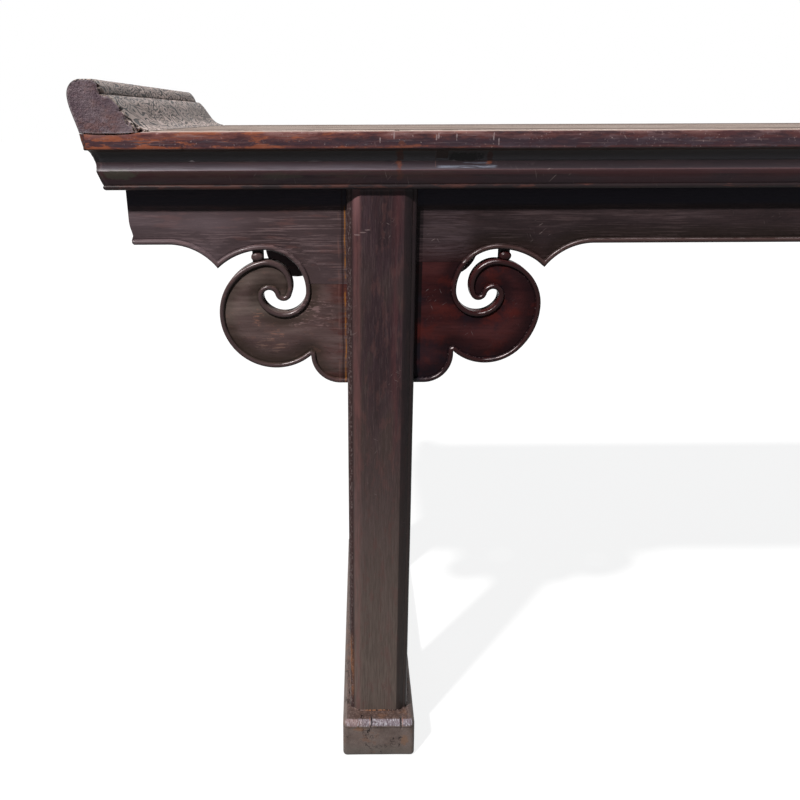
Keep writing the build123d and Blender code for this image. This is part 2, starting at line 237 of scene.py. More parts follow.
def makeCracks():  # thin wandering lines, in sparse runs
    given, out = newGroup("cracks", Vector=(0, 0, 0), Width=1.0, Amount=0.5)
    apart = abs(fuzz(given["Vector"], (1, 1, 1), 3, 0.6) - 0.5)
    line = below(apart / given["Width"], 0.002, 0.009)
    gate = fuzz(given["Vector"], (0.6, 0.6, 0.6), 1) + given["Amount"] * 0.3
    feed(out["Mask"], line * above(gate, 0.6, 0.68))


def makePaintedGlint():  # painted highlight along the upward slopes of a bead, where the lamp glints; Normal is the way the face looks
    given, out = newGroup("wax", Vector=(0, 0, 0), Normal=(0, 0, 1), Edge=0.0)
    nx, ny, nz = axes(given["Normal"])
    facing = abs(ny) * 0.74 + nz * 0.62 - nx * 0.26
    line = above(facing, 0.945, 0.985) * above(given["Edge"], 0.1, 0.5)
    feed(out["Mask"], line * mottle(given["Vector"], (50, 90, 90), 0.34, 0.58, 4, 0.65))


def makeJointLine():  # filler, shadow and a faint second line down the joint left of the left leg
    given, out = newGroup("jointLine", ("Filler", "Shadow", "Faint"), Vector=(0, 0, 0))
    x, _, z = axes(given["Vector"])
    off = x + (fuzz(given["Vector"], (1, 1, 26), 3) - 0.5) * 0.004
    # the filler stops high on the apron, where the top's shadow falls, so that band stays painted shade
    lit = below(z, 0.808, 0.816)
    kept = mottle(given["Vector"], (1, 1, 45), 0.33, 0.58, 4, 0.7)
    feed(out["Filler"], within(off, -0.8928, -0.8912, 0.0004) * kept * lit)
    feed(out["Shadow"], within(off, -0.8965, -0.894, 0.0006))
    faint = mottle(given["Vector"], (1, 1, 30), 0.42, 0.62, 3, 0.6)
    feed(out["Faint"], within(off, -0.901, -0.8988, 0.0007) * faint)


for makeGroup in (makeWoodGrain, makeRub, makeScuffs, makeStain, makeCracks, makePaintedGlint, makeJointLine):
    makeGroup()
print("shader groups built")


def startFinish(name, f):
    # the shared body of every finish: clouded and streaked lacquer, worn patches, rubbed edges, grimy
    # hollows and scuffs
    mat = bpy.data.materials.new(name)
    mat.use_nodes = True
    bench["tree"] = mat.node_tree
    grain = outOf("Attribute", output="Vector", attribute_name="grain")
    edge, hollow = (outOf("Attribute", output="Fac", attribute_name=key) for key in ("edge", "hollow"))
    place = outOf("TexCoord", output="Object")
    wood = useGroup("woodGrain", Vector=grain, Fineness=f["fineness"])
    cloud, streak = wood["Cloud"], wood["Streak"]
    m = SimpleNamespace(
        mat=mat, f=f, grain=grain, edge=edge, hollow=hollow, place=place, cloud=cloud, streak=streak,
        patch=wood["Patch"], colour=mixColour(cloud, tint(f["dark"]), tint(f["light"])),
    )
    lay(m, streak, f["streak"], f["streakShare"])
    low, soft = 0.66 - 0.25 * f["patchAmount"], f["patchSoft"] / 2
    patch = above(m.patch, low - soft, low + 0.06 + soft) * (0.4 + streak * 0.6)
    lay(m, patch, f["patch"], f["patchShare"])
    m.rubbed = maskFrom("rub", Vector=grain, Guide=edge, Amount=f["edgeWear"], Breakup=f["breakup"])
    lay(m, m.rubbed, f["worn"], f["wornShare"])
    dirty = maskFrom("rub", Vector=grain, Guide=hollow, Amount=f["hollowGrime"], Breakup=0.5)
    lay(m, dirty, f["grime"], f["grimeShare"])
    lay(m, wood["Pores"], f["grime"], f["poreShare"])
    scratch = maskFrom("scuffs", Vector=grain, Density=f["scuffs"])
    lay(m, scratch, f["scratch"], 0.5)
    m.rough = f["roughness"] + cloud * 0.07 + patch * 0.08 + dirty * 0.25
    m.height = wood["Height"] - scratch * 0.3 - patch * 0.2
    return m


def lay(m, mask, code, share=1.0):
    # another colour over a finish, where the mask says
    m.colour = mixColour(mask * share, m.colour, tint(code))


def sink(m, mask, depth):
    m.height = m.height - mask * depth


def spotMask(m, centre, radius, ragged=0.6):
    # centre and radius in millimetres
    where, reach = (tuple(v * mm for v in value) for value in (centre, radius))
    return maskFrom("stain", Vector=m.place, Centre=where, Radius=reach, Ragged=ragged)


def spot(m, code, centre, radius, share=1.0, ragged=0.6):
    lay(m, spotMask(m, centre, radius, ragged), code, share)


def crackLines(m, factors, width, amount, code, depth):
    spread = vectorCalc("MULTIPLY", m.grain, factors)
    mask = maskFrom("cracks", Vector=spread, Width=width, Amount=amount)
    lay(m, mask, code)
    sink(m, mask, depth)


def endFinish(m):
    f, shader = m.f, bench["tree"].nodes["Principled BSDF"]
    bump = addNode("Bump")
    crest = above(m.edge, 0.12, 0.45) * f["crestCoat"]
    for socket, value in (
        (bump.inputs["Strength"], f["bump"]), (bump.inputs["Distance"], f["relief"] * mm),
        (bump.inputs["Height"], m.height), (shader.inputs["Base Color"], m.colour),
        (shader.inputs["Roughness"], m.rough), (shader.inputs["Normal"], Field(bump.outputs["Normal"])),
        (shader.inputs["Specular IOR Level"], f["gloss"]), (shader.inputs["Coat Weight"], crest + f["coat"]),
        (shader.inputs["Coat Roughness"], f["coatRoughness"]),
    ):
        feed(socket, value)
    return m.mat


oldLacquer = {
    "dark": "#2e2426", "light": "#493a3a", "streak": "#1e1819", "streakShare": 0.45,
    "patch": "#6a4a45", "patchAmount": 0.35, "patchShare": 0.4, "patchSoft": 0.14, "worn": "#74574f",
    "wornShare": 0.5, "edgeWear": 1.0, "breakup": 0.9, "grime": "#100e0f", "hollowGrime": 1.0,
    "grimeShare": 0.5, "poreShare": 0.3, "scratch": "#a3928f", "scuffs": 0.2, "fineness": 1.0,
    "roughness": 0.3, "gloss": 0.08, "coat": 0.0, "crestCoat": 0.3, "coatRoughness": 0.3, "bump": 0.5,
    "relief": 0.5,
}


# mesh helpers

def seedOf(name):
    return crc32(name.encode()) % 9973


def camel(node):  # "left_front_leg" gives "leftFrontLeg"
    first, *rest = node.split("_")
    return first + "".join(part.title() for part in rest)


def columns(*values):
    # numbers and lists side by side, one row for each point
    return np.column_stack(np.broadcast_arrays(*values))


def readAll(items, key, width, kind=np.float32):
    # a property of every item, as an array of so many columns
    values = np.zeros(len(items) * width, kind)
    items.foreach_get(key, values)
    return values.reshape(-1, width) if width > 1 else values


def setValues(mesh, name, values):  # one number for each vertex
    mesh.attributes.new(name, "FLOAT", "POINT").data.foreach_set("value", values.astype(np.float32))


def markEdges(mesh, reach):
    # how far each vertex stands on a convex edge or in a hollow, fading over the reach in millimetres
    place = readAll(mesh.vertices, "co", 3) / mm
    out = readAll(mesh.vertex_normals, "vector", 3)
    ends = readAll(mesh.edges, "vertices", 2, np.int32)
    way = place[ends[:, 1]] - place[ends[:, 0]]
    size = np.linalg.norm(way, axis=1) + 1e-6
    first = -(way * out[ends[:, 0]]).sum(1) / size
    second = (way * out[ends[:, 1]]).sum(1) / size
    count = len(place)
    total = np.bincount(ends[:, 0], first, count) + np.bincount(ends[:, 1], second, count)
    bend = total / np.maximum(np.bincount(ends.ravel(), minlength=count), 1)
    for name, value in (("edge", bend), ("hollow", -bend)):
        value = np.clip(value * 5, 0, 1)
        for _ in range(4):
            fade = np.exp(-size / reach)
            spread = value.copy()
            np.maximum.at(spread, ends[:, 0], value[ends[:, 1]] * fade)
            np.maximum.at(spread, ends[:, 1], value[ends[:, 0]] * fade)
            value = spread
        setValues(mesh, name, value)


grainOrder = {"X": (0, 1, 2), "Y": (1, 0, 2), "Z": (2, 0, 1)}
sides = (("left", -1), ("right", 1))
fronts = (("front", -1), ("rear", 1))


def makePiece(
    node, points, faces, finishes, along="X", sharp=38, reach=3.0, faceFinish=None, marks=None,
):
    # marks gives each point's edge and hollow values where the mesh code knows them
    bm = bmesh.new()
    for p in points:
        bm.verts.new(p)
    if marks is not None:
        for label, values in zip(("edge", "hollow"), marks.T):
            layer = bm.verts.layers.float.new(label)
            for v, value in zip(bm.verts, values):
                v[layer] = value
    bm.verts.ensure_lookup_table()
    for face in faces:
        try:
            bm.faces.new([bm.verts[i] for i in face])
        except ValueError:
            pass  # the same face twice, where a ring closes on itself
    bmesh.ops.remove_doubles(bm, verts=bm.verts, dist=0.01)
    bmesh.ops.dissolve_degenerate(bm, dist=0.005, edges=bm.edges)
    bmesh.ops.recalc_face_normals(bm, faces=bm.faces)
    if faceFinish:
        for face in bm.faces:
            face.material_index = faceFinish(face)
    shade(bm, sharp)
    mesh = bpy.data.meshes.new(camel(node))
    bm.transform(Matrix.Scale(mm, 4))
    bm.to_mesh(mesh)
    bm.free()
    dressMesh(node, mesh, finishes, along, reach)


def shade(bm, sharp=38):
    # smooth, but for edges that turn by more than so many degrees
    for face in bm.faces:
        face.smooth = True
    for edge in bm.edges:
        edge.smooth = len(edge.link_faces) == 2 and edge.calc_face_angle(pi) < radians(sharp)


def dressMesh(node, mesh, finishes, along, reach):
    # the mesh as a piece of the scene, with its grain along the named axis, standing for the solid
    name = camel(node)
    if "edge" not in mesh.attributes:
        markEdges(mesh, reach)
    place = readAll(mesh.vertices, "co", 3)
    seed = seedOf(name)
    away = np.array([seed * 0.37 % 7, seed * 0.73 % 5, seed * 0.19 % 3], np.float32)
    grainLine = (place[:, grainOrder[along]] + away).astype(np.float32)
    mesh.attributes.new("grain", "FLOAT_VECTOR", "POINT").data.foreach_set("vector", grainLine.ravel())
    obj = addObject(name, mesh)
    for finish in finishes:
        mesh.materials.append(finish)
    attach(obj, "root")
    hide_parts(node)


def skin(rows, count):
    # faces between rings of points, each ring closed on itself
    return [
        (i * count + j, i * count + (j + 1) % count, (i + 1) * count + (j + 1) % count, (i + 1) * count + j)
        for i in range(rows - 1) for j in range(count)
    ]


def loft(rings):
    # closed skin through rings of equal count, with a face over each end
    rings = np.asarray(rings, float)
    rows, count = rings.shape[:2]
    caps = [tuple(range(count)), tuple(range((rows - 1) * count, rows * count))]
    return rings.reshape(-1, 3), skin(rows, count) + caps


def joined(*parts):
    points, faces, start = [], [], 0
    for p, f in parts:
        points.append(np.asarray(p, float))
        faces += [tuple(i + start for i in face) for face in f]
        start += len(p)
    return np.concatenate(points), faces


def graded(low, high, fine, coarse, margin):
    # coordinates from low to high, close together near both ends
    near = np.linspace(0, margin, ceil(margin / fine) + 1)
    middle = np.linspace(low + margin, high - margin, max(2, ceil((high - low - 2 * margin) / coarse) + 1))
    return np.unique(np.round(np.concatenate([low + near, middle, high - near]), 4))


def throughThree(a, b, c, count):
    # points on the arc from a through b to c
    a, b, c = (np.array(p, float) for p in (a, b, c))
    lift = np.array([[b[0] - a[0], b[1] - a[1]], [c[0] - a[0], c[1] - a[1]]])
    middle = np.linalg.solve(2 * lift, [b @ b - a @ a, c @ c - a @ a])
    start, turnB, turnC = (np.arctan2(*(p - middle)[::-1]) for p in (a, b, c))
    half, full = (turnB - start) % (2 * pi), (turnC - start) % (2 * pi)
    if half > full:
        full -= 2 * pi
    angles = start + np.linspace(0, full, count)
    return middle + np.linalg.norm(a - middle) * np.column_stack([np.cos(angles), np.sin(angles)])


def bezier(a, b, c, d, count):  # from a to d, pulled toward b and c
    t = np.linspace(0, 1, count)[:, None]
    a, b, c, d = (np.array(p, float) for p in (a, b, c, d))
    return a * (1 - t) ** 3 + 3 * b * t * (1 - t) ** 2 + 3 * c * t * t * (1 - t) + d * t ** 3


def evenly(points, spacing):
    # the same line with points no further apart than the spacing
    out = [np.array(points[0], float)]
    for p in points[1:]:
        p = np.array(p, float)
        count = max(1, ceil(np.linalg.norm(p - out[-1]) / spacing))
        start = out[-1]
        out += [start + (p - start) * i / count for i in range(1, count + 1)]
    return np.array(out)


def unevenness(points, size, seed):
    # smooth noise from 0 to 1 at each point; size is its length in millimetres
    return np.array([0.5 + 0.5 * noise.noise(Vector(p) / size + Vector((seed, 0, 0))) for p in points])


# the moulded top frame

top = {
    "halfLength": 1191.0, "halfDepth": 280.0, "height": 900.0, "edge": 66.0, "stile": 92.0, "cap": 5.5,
    "setback": 17.0, "arris": 3.0, "dent": 1.6, "longWave": 55, "shortWave": 9, "knockFrom": 0.28,
}
flangeShape = {
    "lean": 9.0, "leanHeight": 37.0, "height": 55.0, "crown": 8.0, "lip": 21.0,
    "step": 32.0, "stepHeight": 39.0, "ledge": 38.0, "toe": 80.0, "seatLength": 72.0,
}


def mouldedEdge():
    # (setback from the widest line, depth below the top) from the top arris down to the underside
    turn = np.linspace(0, pi / 2, 6)
    return np.concatenate([
        columns(top["arris"] * (1 - np.sin(turn)), top["arris"] * (1 - np.cos(turn))),
        evenly([(0, 3), (0.3, 8), (0.8, 18.6)], 1.7)[1:],  # band
        throughThree((0.8, 18.6), (1.5, 20.2), (3.2, 20.9), 5)[1:], [(5, 21)],
        throughThree((5, 21), (11.4, 31), (9.2, 44), 16)[1:],  # cove
        throughThree((9.2, 44), (12.4, 53), (16, 60.5), 10)[1:],  # fascia
        throughThree((16, 60.5), (14.8, 63), (17, 66), 7)[1:],  # bead
    ])


def endSlope(depth):
    # how much further than the front the end's moulding leans in
    depths = (3, 18, 21, 26, 31, 38, 44, 52, 60, 66)
    return np.interp(depth, depths, (0.2, 2.6, 1.4, -0.9, -1.2, 0.4, 3.0, 2.4, 1.0, 2.0))


def seatLine(inward):
    # height of the joint under the flange's end, a shallow curve; inward is from the end of the top
    return top["height"] - np.interp(inward, (0, 6, 20, 40, 56, 66, 72), (2.2, 2.7, 3.7, 3.9, 3.1, 1.8, 0.5))


def frameLoop(width):
    # cross-section of a frame member as (inset from the widest line, depth), once round
    edge = mouldedEdge()
    deep = top["edge"]
    under = evenly([(top["setback"], deep), (width, deep)], 12)[1:]
    inner = evenly([(width, deep), (width, 0)], 11)[1:]
    upper = columns(graded(3, width, 1.5, 9, 9)[::-1], 0.0)[1:-1]
    return np.concatenate([edge, under, inner, upper]), len(edge)


def wearFrame(place, inset, depth, seed):
    # knocks and softening along the arrises; everything moves inwards only
    shift = np.zeros((len(place), 2))
    for i, p in enumerate(place):
        spread = Vector((p[0], p[1], p[2] * 3)) / top["longWave"]
        slow = 0.5 + 0.5 * noise.noise(spread + Vector((seed, 0, 0)))
        quick = noise.noise(Vector(p) / top["shortWave"] + Vector((0, seed, 0)))
        d = depth[i]
        if inset[i] <= 12 and d < 21.5:
            near = max(0, 1 - min(abs(d - 1.5), abs(d - 20)) / 5)
            knock = max(0, quick - top["knockFrom"]) * top["dent"] * 2.2 * near
            shift[i] = (0.25 * slow + knock, knock * 0.6 if d < 4 else 0)
        elif inset[i] < 20:
            shift[i] = (0.22 * slow + max(0, quick - 0.45) * 0.8, 0)
        elif d < 1:
            shift[i] = (0, 0.35 * slow)
    return shift


def wornRings(rings, loop, name):
    # the rings' points, each point's inset and depth, and how far it is worn back and down
    place = np.concatenate(rings)
    insets, depths = np.tile(loop, (len(rings), 1)).T
    return place, insets, depths, *wearFrame(place, insets, depths, seedOf(name)).T


def buildStile(faceName, side, finishes):
    loop = frameLoop(top["stile"])[0]
    inset, depth = loop.T
    reach = top["halfLength"] - top["cap"]
    stations = graded(-reach, reach, 1.8, 9, 125)
    rings = [columns(s * (reach - inset) / reach, 0.0, top["height"] - depth) for s in stations]
    place, insets, depths, back, down = wornRings(rings, loop, faceName + "Stile")
    place[:, 1] = side * (top["halfDepth"] - insets - back)
    place[:, 2] -= down
    inward = top["halfLength"] - np.abs(place[:, 0])
    under = (inward < flangeShape["seatLength"] + 4) & (depths < 8)
    place[under, 2] = np.minimum(place[under, 2], seatLine(inward[under]) - 0.5)
    points, faces = loft(place.reshape(len(stations), len(loop), 3))
    makePiece(faceName + "_stile", points, faces, finishes, reach=2.2, faceFinish=bareTop)


def bareTop(face):
    # 1 for the unlacquered upper face
    return int(face.normal.z > 0.9 and face.calc_center_median().z > top["height"] - 1.2)


def flangeLoop():
    # (inward from the end of the top, rise above it), once round
    f = flangeShape
    widest, crown, lip = (-f["lean"], f["leanHeight"]), (f["crown"], f["height"]), (f["lip"], f["height"])
    step, ledge, toe = (f["step"], f["stepHeight"]), (f["ledge"], f["stepHeight"] - 1), (f["toe"], 0)
    seatInward = graded(0, f["seatLength"], 3, 3, 3)[::-1][1:-1]
    return np.concatenate([
        bezier((0.3, -2.3), (-2.7, 10), (-f["lean"], 23), widest, 12),
        bezier(widest, (-9, 48), (-1, f["height"]), crown, 12)[1:],
        evenly([crown, lip], 1.5)[1:],
        throughThree(lip, (28, 48.5), step, 16)[1:],
        evenly([step, ledge], 1.5)[1:],
        bezier(ledge, (54.5, 26.4), (55.5, 2.45), toe, 44)[1:],
        evenly([toe, (f["seatLength"], -0.4)], 2)[1:],
        columns(seatInward, seatLine(seatInward) - top["height"] - 0.1),
    ])


chips = [  # (inward, rise, radius, depth) of the pieces broken from the flange's front rim
    (31, 42, 4.5, 3.2), (34.5, 39.5, 3.0, 3.0), (53, 23, 5.0, 2.4), (58, 13, 6.0, 3.0),
    (66, 6, 6.0, 3.6), (70.5, 1.0, 5.0, 8.0), (63, 8.5, 3.0, 4.0), (28, 47, 2.5, 2.0),
]


def latticeIn(outline, margin, spacing):
    # a square lattice of points inside a closed outline
    xs, ys = (np.arange(low + margin, high, spacing) for low, high in zip(outline.min(0), outline.max(0)))
    lattice = np.array([(x, y) for x in xs for y in ys])
    return lattice[insideOf(lattice, outline)]


def triangles(outline, inner=()):
    # triangles over a closed outline; the last value says which given points each new one comes from
    given, ring = [Vector(p) for p in (*outline, *inner)], [list(range(len(outline)))]
    verts, _, faces, origin, _, _ = delaunay_2d_cdt(given, [], ring, 1, 1e-5)
    return np.array([tuple(v) for v in verts]), faces, origin


def fillRegion(outline, spacing):
    # even triangles over a closed outline
    lattice = latticeIn(outline, spacing / 2, spacing)
    lattice = lattice[distanceTo(lattice, outline, np.roll(outline, -1, 0)) > spacing * 0.45]
    return triangles(outline, lattice)[:2]


def insideOf(points, outline):
    # True for the points that lie inside a closed outline
    crossings = np.zeros(len(points), int)
    a, b = outline, np.roll(outline, -1, 0)
    for start in range(0, len(points), 4000):
        p = points[start:start + 4000, None]
        spans = (a[None, :, 1] > p[..., 1]) != (b[None, :, 1] > p[..., 1])
        rise = np.where(b[:, 1] == a[:, 1], 1e-9, b[:, 1] - a[:, 1])
        cut = a[None, :, 0] + (p[..., 1] - a[None, :, 1]) / rise * (b[:, 0] - a[:, 0])
        crossings[start:start + 4000] = (spans & (p[..., 0] < cut)).sum(1)
    return crossings % 2 == 1


def distanceTo(points, a, b):
    # shortest distance from each point to the line pieces a-b
    best = np.full(len(points), 1e9)
    way = b - a
    size = np.maximum((way ** 2).sum(1), 1e-9)
    for start in range(0, len(points), 1500):
        apart = points[start:start + 1500, None] - a[None]
        t = np.clip((apart * way).sum(2) / size, 0, 1)
        best[start:start + 1500] = np.sqrt(((apart - t[..., None] * way) ** 2).sum(2)).min(1)
    return best


def buildFlange(side):
    # the everted flange, swept front to back, with its broken front rim
    loop = flangeLoop()
    rows = graded(-top["halfDepth"], top["halfDepth"], 1.25, 4, 12)
    centre = np.array([30.0, 25.0])
    way = (centre - loop) / np.linalg.norm(centre - loop, axis=1)[:, None]
    rings = []
    for y in rows:
        gap = top["halfDepth"] - abs(y)
        shrink = 1.1 * (1 - sqrt(max(0, 1 - (1 - min(gap, 1.1) / 1.1) ** 2)))
        sag = 0.15 + 0.5 * unevenness(columns(loop[:, 0], y, loop[:, 1]), 18, side * 3.1)
        line = loop + way * (shrink + sag)[:, None]
        rings.append(columns(side * (top["halfLength"] - line[:, 0]), y, top["height"] + line[:, 1]))
    points, faces = loft(rings)
    parts = [(points, faces[:-2])]
    for ring in (rings[0], rings[-1]):
        verts, tris = fillRegion(ring[:, (0, 2)], 2.2)
        parts.append((columns(verts[:, 0], ring[0][1], verts[:, 1]), tris))
    points, faces = joined(*parts)
    for inward, rise, radius, deep in chips:
        middle = np.array([side * (top["halfLength"] - inward), -top["halfDepth"], top["height"] + rise])
        apart = np.linalg.norm((points - middle) * (1, 0.6, 1), axis=1)
        jag = 0.7 + 0.6 * unevenness(points, 2.2, inward)
        bite = np.clip(1.15 - apart / radius * jag, 0, 1)
        points += (bite * deep)[:, None] * (side * 0.35, 1.2, -0.45)
    return points, faces


def buildEndRail(sideName, side, finishes):
    loop, edgeCount = frameLoop(top["stile"] + top["cap"])
    inset, depth = loop.T
    onEdge = np.arange(len(loop)) < edgeCount
    corner = top["halfDepth"] - np.where(onEdge, inset, np.maximum(inset - top["cap"], 3))
    ease = 1.0
    lean = np.where(onEdge, endSlope(depth), 0)

    def strip(end, out):
        moved = np.where(onEdge, inset + np.maximum(out, lean), inset)
        return columns(moved, end * corner, top["height"] - depth)

    stations = graded(-1, 1, 0.006, 0.03, 0.12)
    rings = [columns(inset + lean, s * (corner - ease), top["height"] - depth) for s in stations]
    rings = [strip(-1, top["cap"]), strip(-1, ease), *rings, strip(1, ease), strip(1, top["cap"])]
    place, insets, depths, back, down = wornRings(rings, loop, sideName + "EndRail")
    place[:, 0] = side * (top["halfLength"] - place[:, 0] - back)
    place[:, 2] -= down
    under = (insets < flangeShape["seatLength"] + 4) & (depths < 4)
    place[under, 2] = np.minimum(place[under, 2], seatLine(insets[under]) - 0.4)
    points, faces = joined(loft(place.reshape(len(rings), len(loop), 3)), buildFlange(side))

    def pickFinish(face):
        middle = face.calc_center_median()
        if middle.z < top["height"] - 3.7 or abs(middle.x) < top["halfLength"] - flangeShape["toe"] - 0.3:
            return 3 * bareTop(face)
        return 2 if abs(face.normal.y) > 0.75 and abs(middle.y) > top["halfDepth"] - 12 else 1

    node = sideName + "_end_rail"
    makePiece(node, points, faces, finishes, "Y", reach=2.2, faceFinish=pickFinish)


edgeLacquer = {
    **oldLacquer, "dark": "#30252a", "light": "#3d3034", "patch": "#4c3734", "patchAmount": 0.3,
    "patchSoft": 0.25, "worn": "#5f4749", "edgeWear": 1.0, "wornShare": 0.45, "scuffs": 0.5,
    "crestCoat": 0.1, "roughness": 0.3,
    # where a member's colour runs, in metres: low, high and softness, or the heights it starts between
    "cove": (0.8562, 0.8803, 0.0007), "fascia": (0.8395, 0.855, 0.001), "bead": (0.839, 0.8412),
    "band": (0.8798, 0.8806), "bare": (0.8982, 0.8989),
    "barer": (0.5, 1.19),  # distances from the middle between which the wear grows
    # colour, centre and radius in mm, share, raggedness: drips, a dark let-in patch, a green cloud
    "marks": [
        ("#6a3c2c", (-828, -270, 868), (4.6, 30, 16), 0.6, 2.0),
        ("#55342e", (-827, -270, 851), (4.6, 30, 8), 0.45, 2.0),
        ("#84492f", (-826.5, -279, 885.5), (4.0, 20, 3.4), 0.32, 2.6),
        ("#59332a", (-723.5, -270, 870), (4.6, 30, 9), 0.6, 1.5),
        ("#84492f", (-724, -270, 863.8), (3.2, 30, 2.6), 0.32, 2.6),
        ("#0e100f", (-752, -270, 870.5), (28, 30, 6.5), 0.8, 1.0),
        ("#4d5145", (-1152, -270, 852), (24, 30, 7), 0.5, 1.3),
    ],
    "nicks": [  # across and height
        (-787, 891.5), (-784.5, 894), (-764, 893), (-835, 893), (-716, 888), (-722, 893), (-851, 889),
    ],
}


def makeEdgeLacquer():
    # band worn to orange toward the ends, green-black cove with painted light and shade and a painted grey
    # sheen at its foot, reddish bottom bead, bare top
    f = edgeLacquer
    m = startFinish("edgeLacquer", f)
    x, y, z = axes(m.place)
    streak, patch = m.streak, m.patch
    streaked = 0.55 + streak * 0.45
    toEnd = above(abs(x), *f["barer"])
    onEnd = below(abs(y) - abs(x), -0.906, -0.9054) * above(abs(y), 0.255, 0.262)

    # the cove: its upper part, in the band's shadow, painted lighter, most of all near the shadow's edge;
    # the lit part below it painted darker as shade away from the left end; a painted blue-grey sheen at its
    # foot, strongest toward the left end
    cove = within(z, *f["cove"])
    leftward = above(x * -1, 0.64, 0.93)
    upper = cove * above(z, 0.8655, 0.8675)
    lay(m, upper, "#5a5656", 0.85)
    lay(m, upper * below(z, 0.867, 0.8745), "#8a858b", 0.7)
    lay(m, within(z, 0.8572, 0.8668, 0.0008) * (1 - leftward), "#1f1a1d", 0.6)
    lay(m, below(z, 0.8555, 0.8655) * cove * streaked * (0.12 + leftward * 0.88), "#6e6670", 0.68)
    lay(m, within(z, 0.8772, 0.88, 0.0006), "#50392f", 0.6)
    lay(m, within(z, 0.851, 0.8563, 0.0008) * streaked, "#5b3a3e", 0.5)

    # the fascia, greenish toward the ends, and the reddish bead under it
    fascia = within(z, *f["fascia"])
    lay(m, fascia * toEnd * above(patch, 0.4, 0.6), "#45433a", 0.55)
    lay(m, fascia * mottle(m.grain, (7, 30, 30), 0.45, 0.62, 3), "#47292a", 0.5)
    lay(m, within(z, 0.84, 0.8475, 0.002), "#45383e", 0.4)
    bead = below(z, *f["bead"])
    lay(m, bead, "#1f1719", 0.88)
    lay(m, bead * above(patch + toEnd * 0.08, 0.54, 0.64), "#5f3830", 0.4)

    # the band, purple-black over reddish wood that is barest near the ends and along both edges
    band = above(z, *f["band"])
    lay(m, band, "#4f3336", 0.9)
    lay(m, band * streak, "#33252b", 0.3)
    middle = within(z, 0.8825, 0.8955, 0.002) * 0.05
    plates = band * above(fuzz(m.grain, (34, 120, 120), 7, 0.66) + middle - toEnd * 0.04, 0.505, 0.53)
    lay(m, plates, "#3b2f35", 0.8)
    lay(m, plates * above(patch, 0.45, 0.6), "#5a4c54", 0.6)
    under, over = below(z, 0.8806, 0.885), above(z, 0.8915, 0.8975)
    reach = toEnd * 0.15 + under * 0.09 + over * 0.06 + fuzz(m.grain, (30, 150, 150), 7, 0.68)
    lay(m, band * (above(reach, 0.56, 0.62) * (0.35 + toEnd * 0.65)), "#6d4442", 0.7)
    lay(m, above(z, 0.889, 0.8925) * above(patch, 0.36, 0.52) * (0.3 + toEnd), "#7d4d47", 0.5)
    lay(m, within(z + patch * 0.006, 0.8862, 0.8932, 0.0009), "#3a2e36", 0.62)
    bared = band * above(reach, 0.66, 0.72) * (0.12 + toEnd * 0.72)
    glow = mixColour(fuzz(m.grain, (70, 320, 320), 4, 0.7), tint("#74402f"), tint("#b4694a"))
    m.colour = mixColour(bared, m.colour, glow)
    lay(m, band * over * above(patch, 0.46, 0.6) * (0.4 + toEnd * 0.6), "#a5807c", 0.55)
    fine = mottle(m.grain, (16, 620, 620), 0.6, 0.7, 2, 0.6)
    lay(m, band * fine * above(patch, 0.4, 0.55), "#96807f", 0.35)
    nicks = mottle(m.place, (330, 330, 300), 0.61, 0.67, 4, 0.72)
    lay(m, band * nicks * above(patch, 0.42, 0.54), "#b9a2a0", 0.5)
    lay(m, band * below(z, 0.8803, 0.8816), "#2b1b1b", 0.5)
    sink(m, bared, 0.5)

    # the mitred ends, darker and cut across the grain
    lay(m, onEnd, "#2c2223", 0.65)
    lay(m, onEnd * mottle(m.place, (40, 300, 700), 0.55, 0.68), "#6b5f60", 0.35)

    # drips, a let-in patch, painted glints and a few old marks
    for mark in f["marks"]:
        spot(m, *mark)
    lay(m, within(x, -0.7855, -0.772, 0.0005) * within(z, 0.8692, 0.878, 0.0004), "#41322d", 0.8)
    lay(m, within(x, -0.7866, -0.7858, 0.0003) * within(z, 0.859, 0.878, 0.001), "#6b514d", 0.5)
    # painted glints in broken bluish-white dashes along the cove's foot
    glint = mottle(m.place, (55, 55, 2400), 0.42, 0.62, 3, 0.6)
    lines = within(x, -0.784, -0.716, 0.003) * within(z, 0.8582, 0.8608, 0.0009)
    finer = within(x, -0.753, -0.726, 0.003) * within(z, 0.863, 0.8642, 0.0008)
    lay(m, calc("MAXIMUM", lines, finer * 0.6) * glint, "#99a1b3", 0.62)
    for across, height in f["nicks"]:
        spot(m, "#a99799", (across, -279, height), (0.9, 20, 4.2), 0.6, 2.4)
    lay(m, above(z, *f["bare"]), "#ab9a91", 0.8)
    return endFinish(m)


flangeFace = {
    **oldLacquer, "dark": "#908079", "light": "#b5a199", "streak": "#6c5d56", "streakShare": 0.3,
    "patch": "#94867d", "patchShare": 0.35, "worn": "#b0a39a", "wornShare": 0.35, "grime": "#2b2320",
    "scratch": "#b5a99d", "roughness": 0.45, "gloss": 0.04, "crestCoat": 0.0, "bump": 0.8,
    "figure": "#090606", "relief": 0.7, "curls": 84.0,
}
flangeEnd = {
    **oldLacquer, "dark": "#604f57", "light": "#7e6e74", "streak": "#4b3e45", "streakShare": 0.35,
    "patch": "#80625b", "patchAmount": 0.4, "patchShare": 0.45, "worn": "#90858a", "wornShare": 0.6,
    "edgeWear": 0.8, "grime": "#161113", "scratch": "#b0a5a9", "scuffs": 0.9, "roughness": 0.38,
    "crestCoat": 0.0, "bump": 0.9, "relief": 1.1, "rings": 700.0, "heart": (-1.22, 0, 0.82),
}


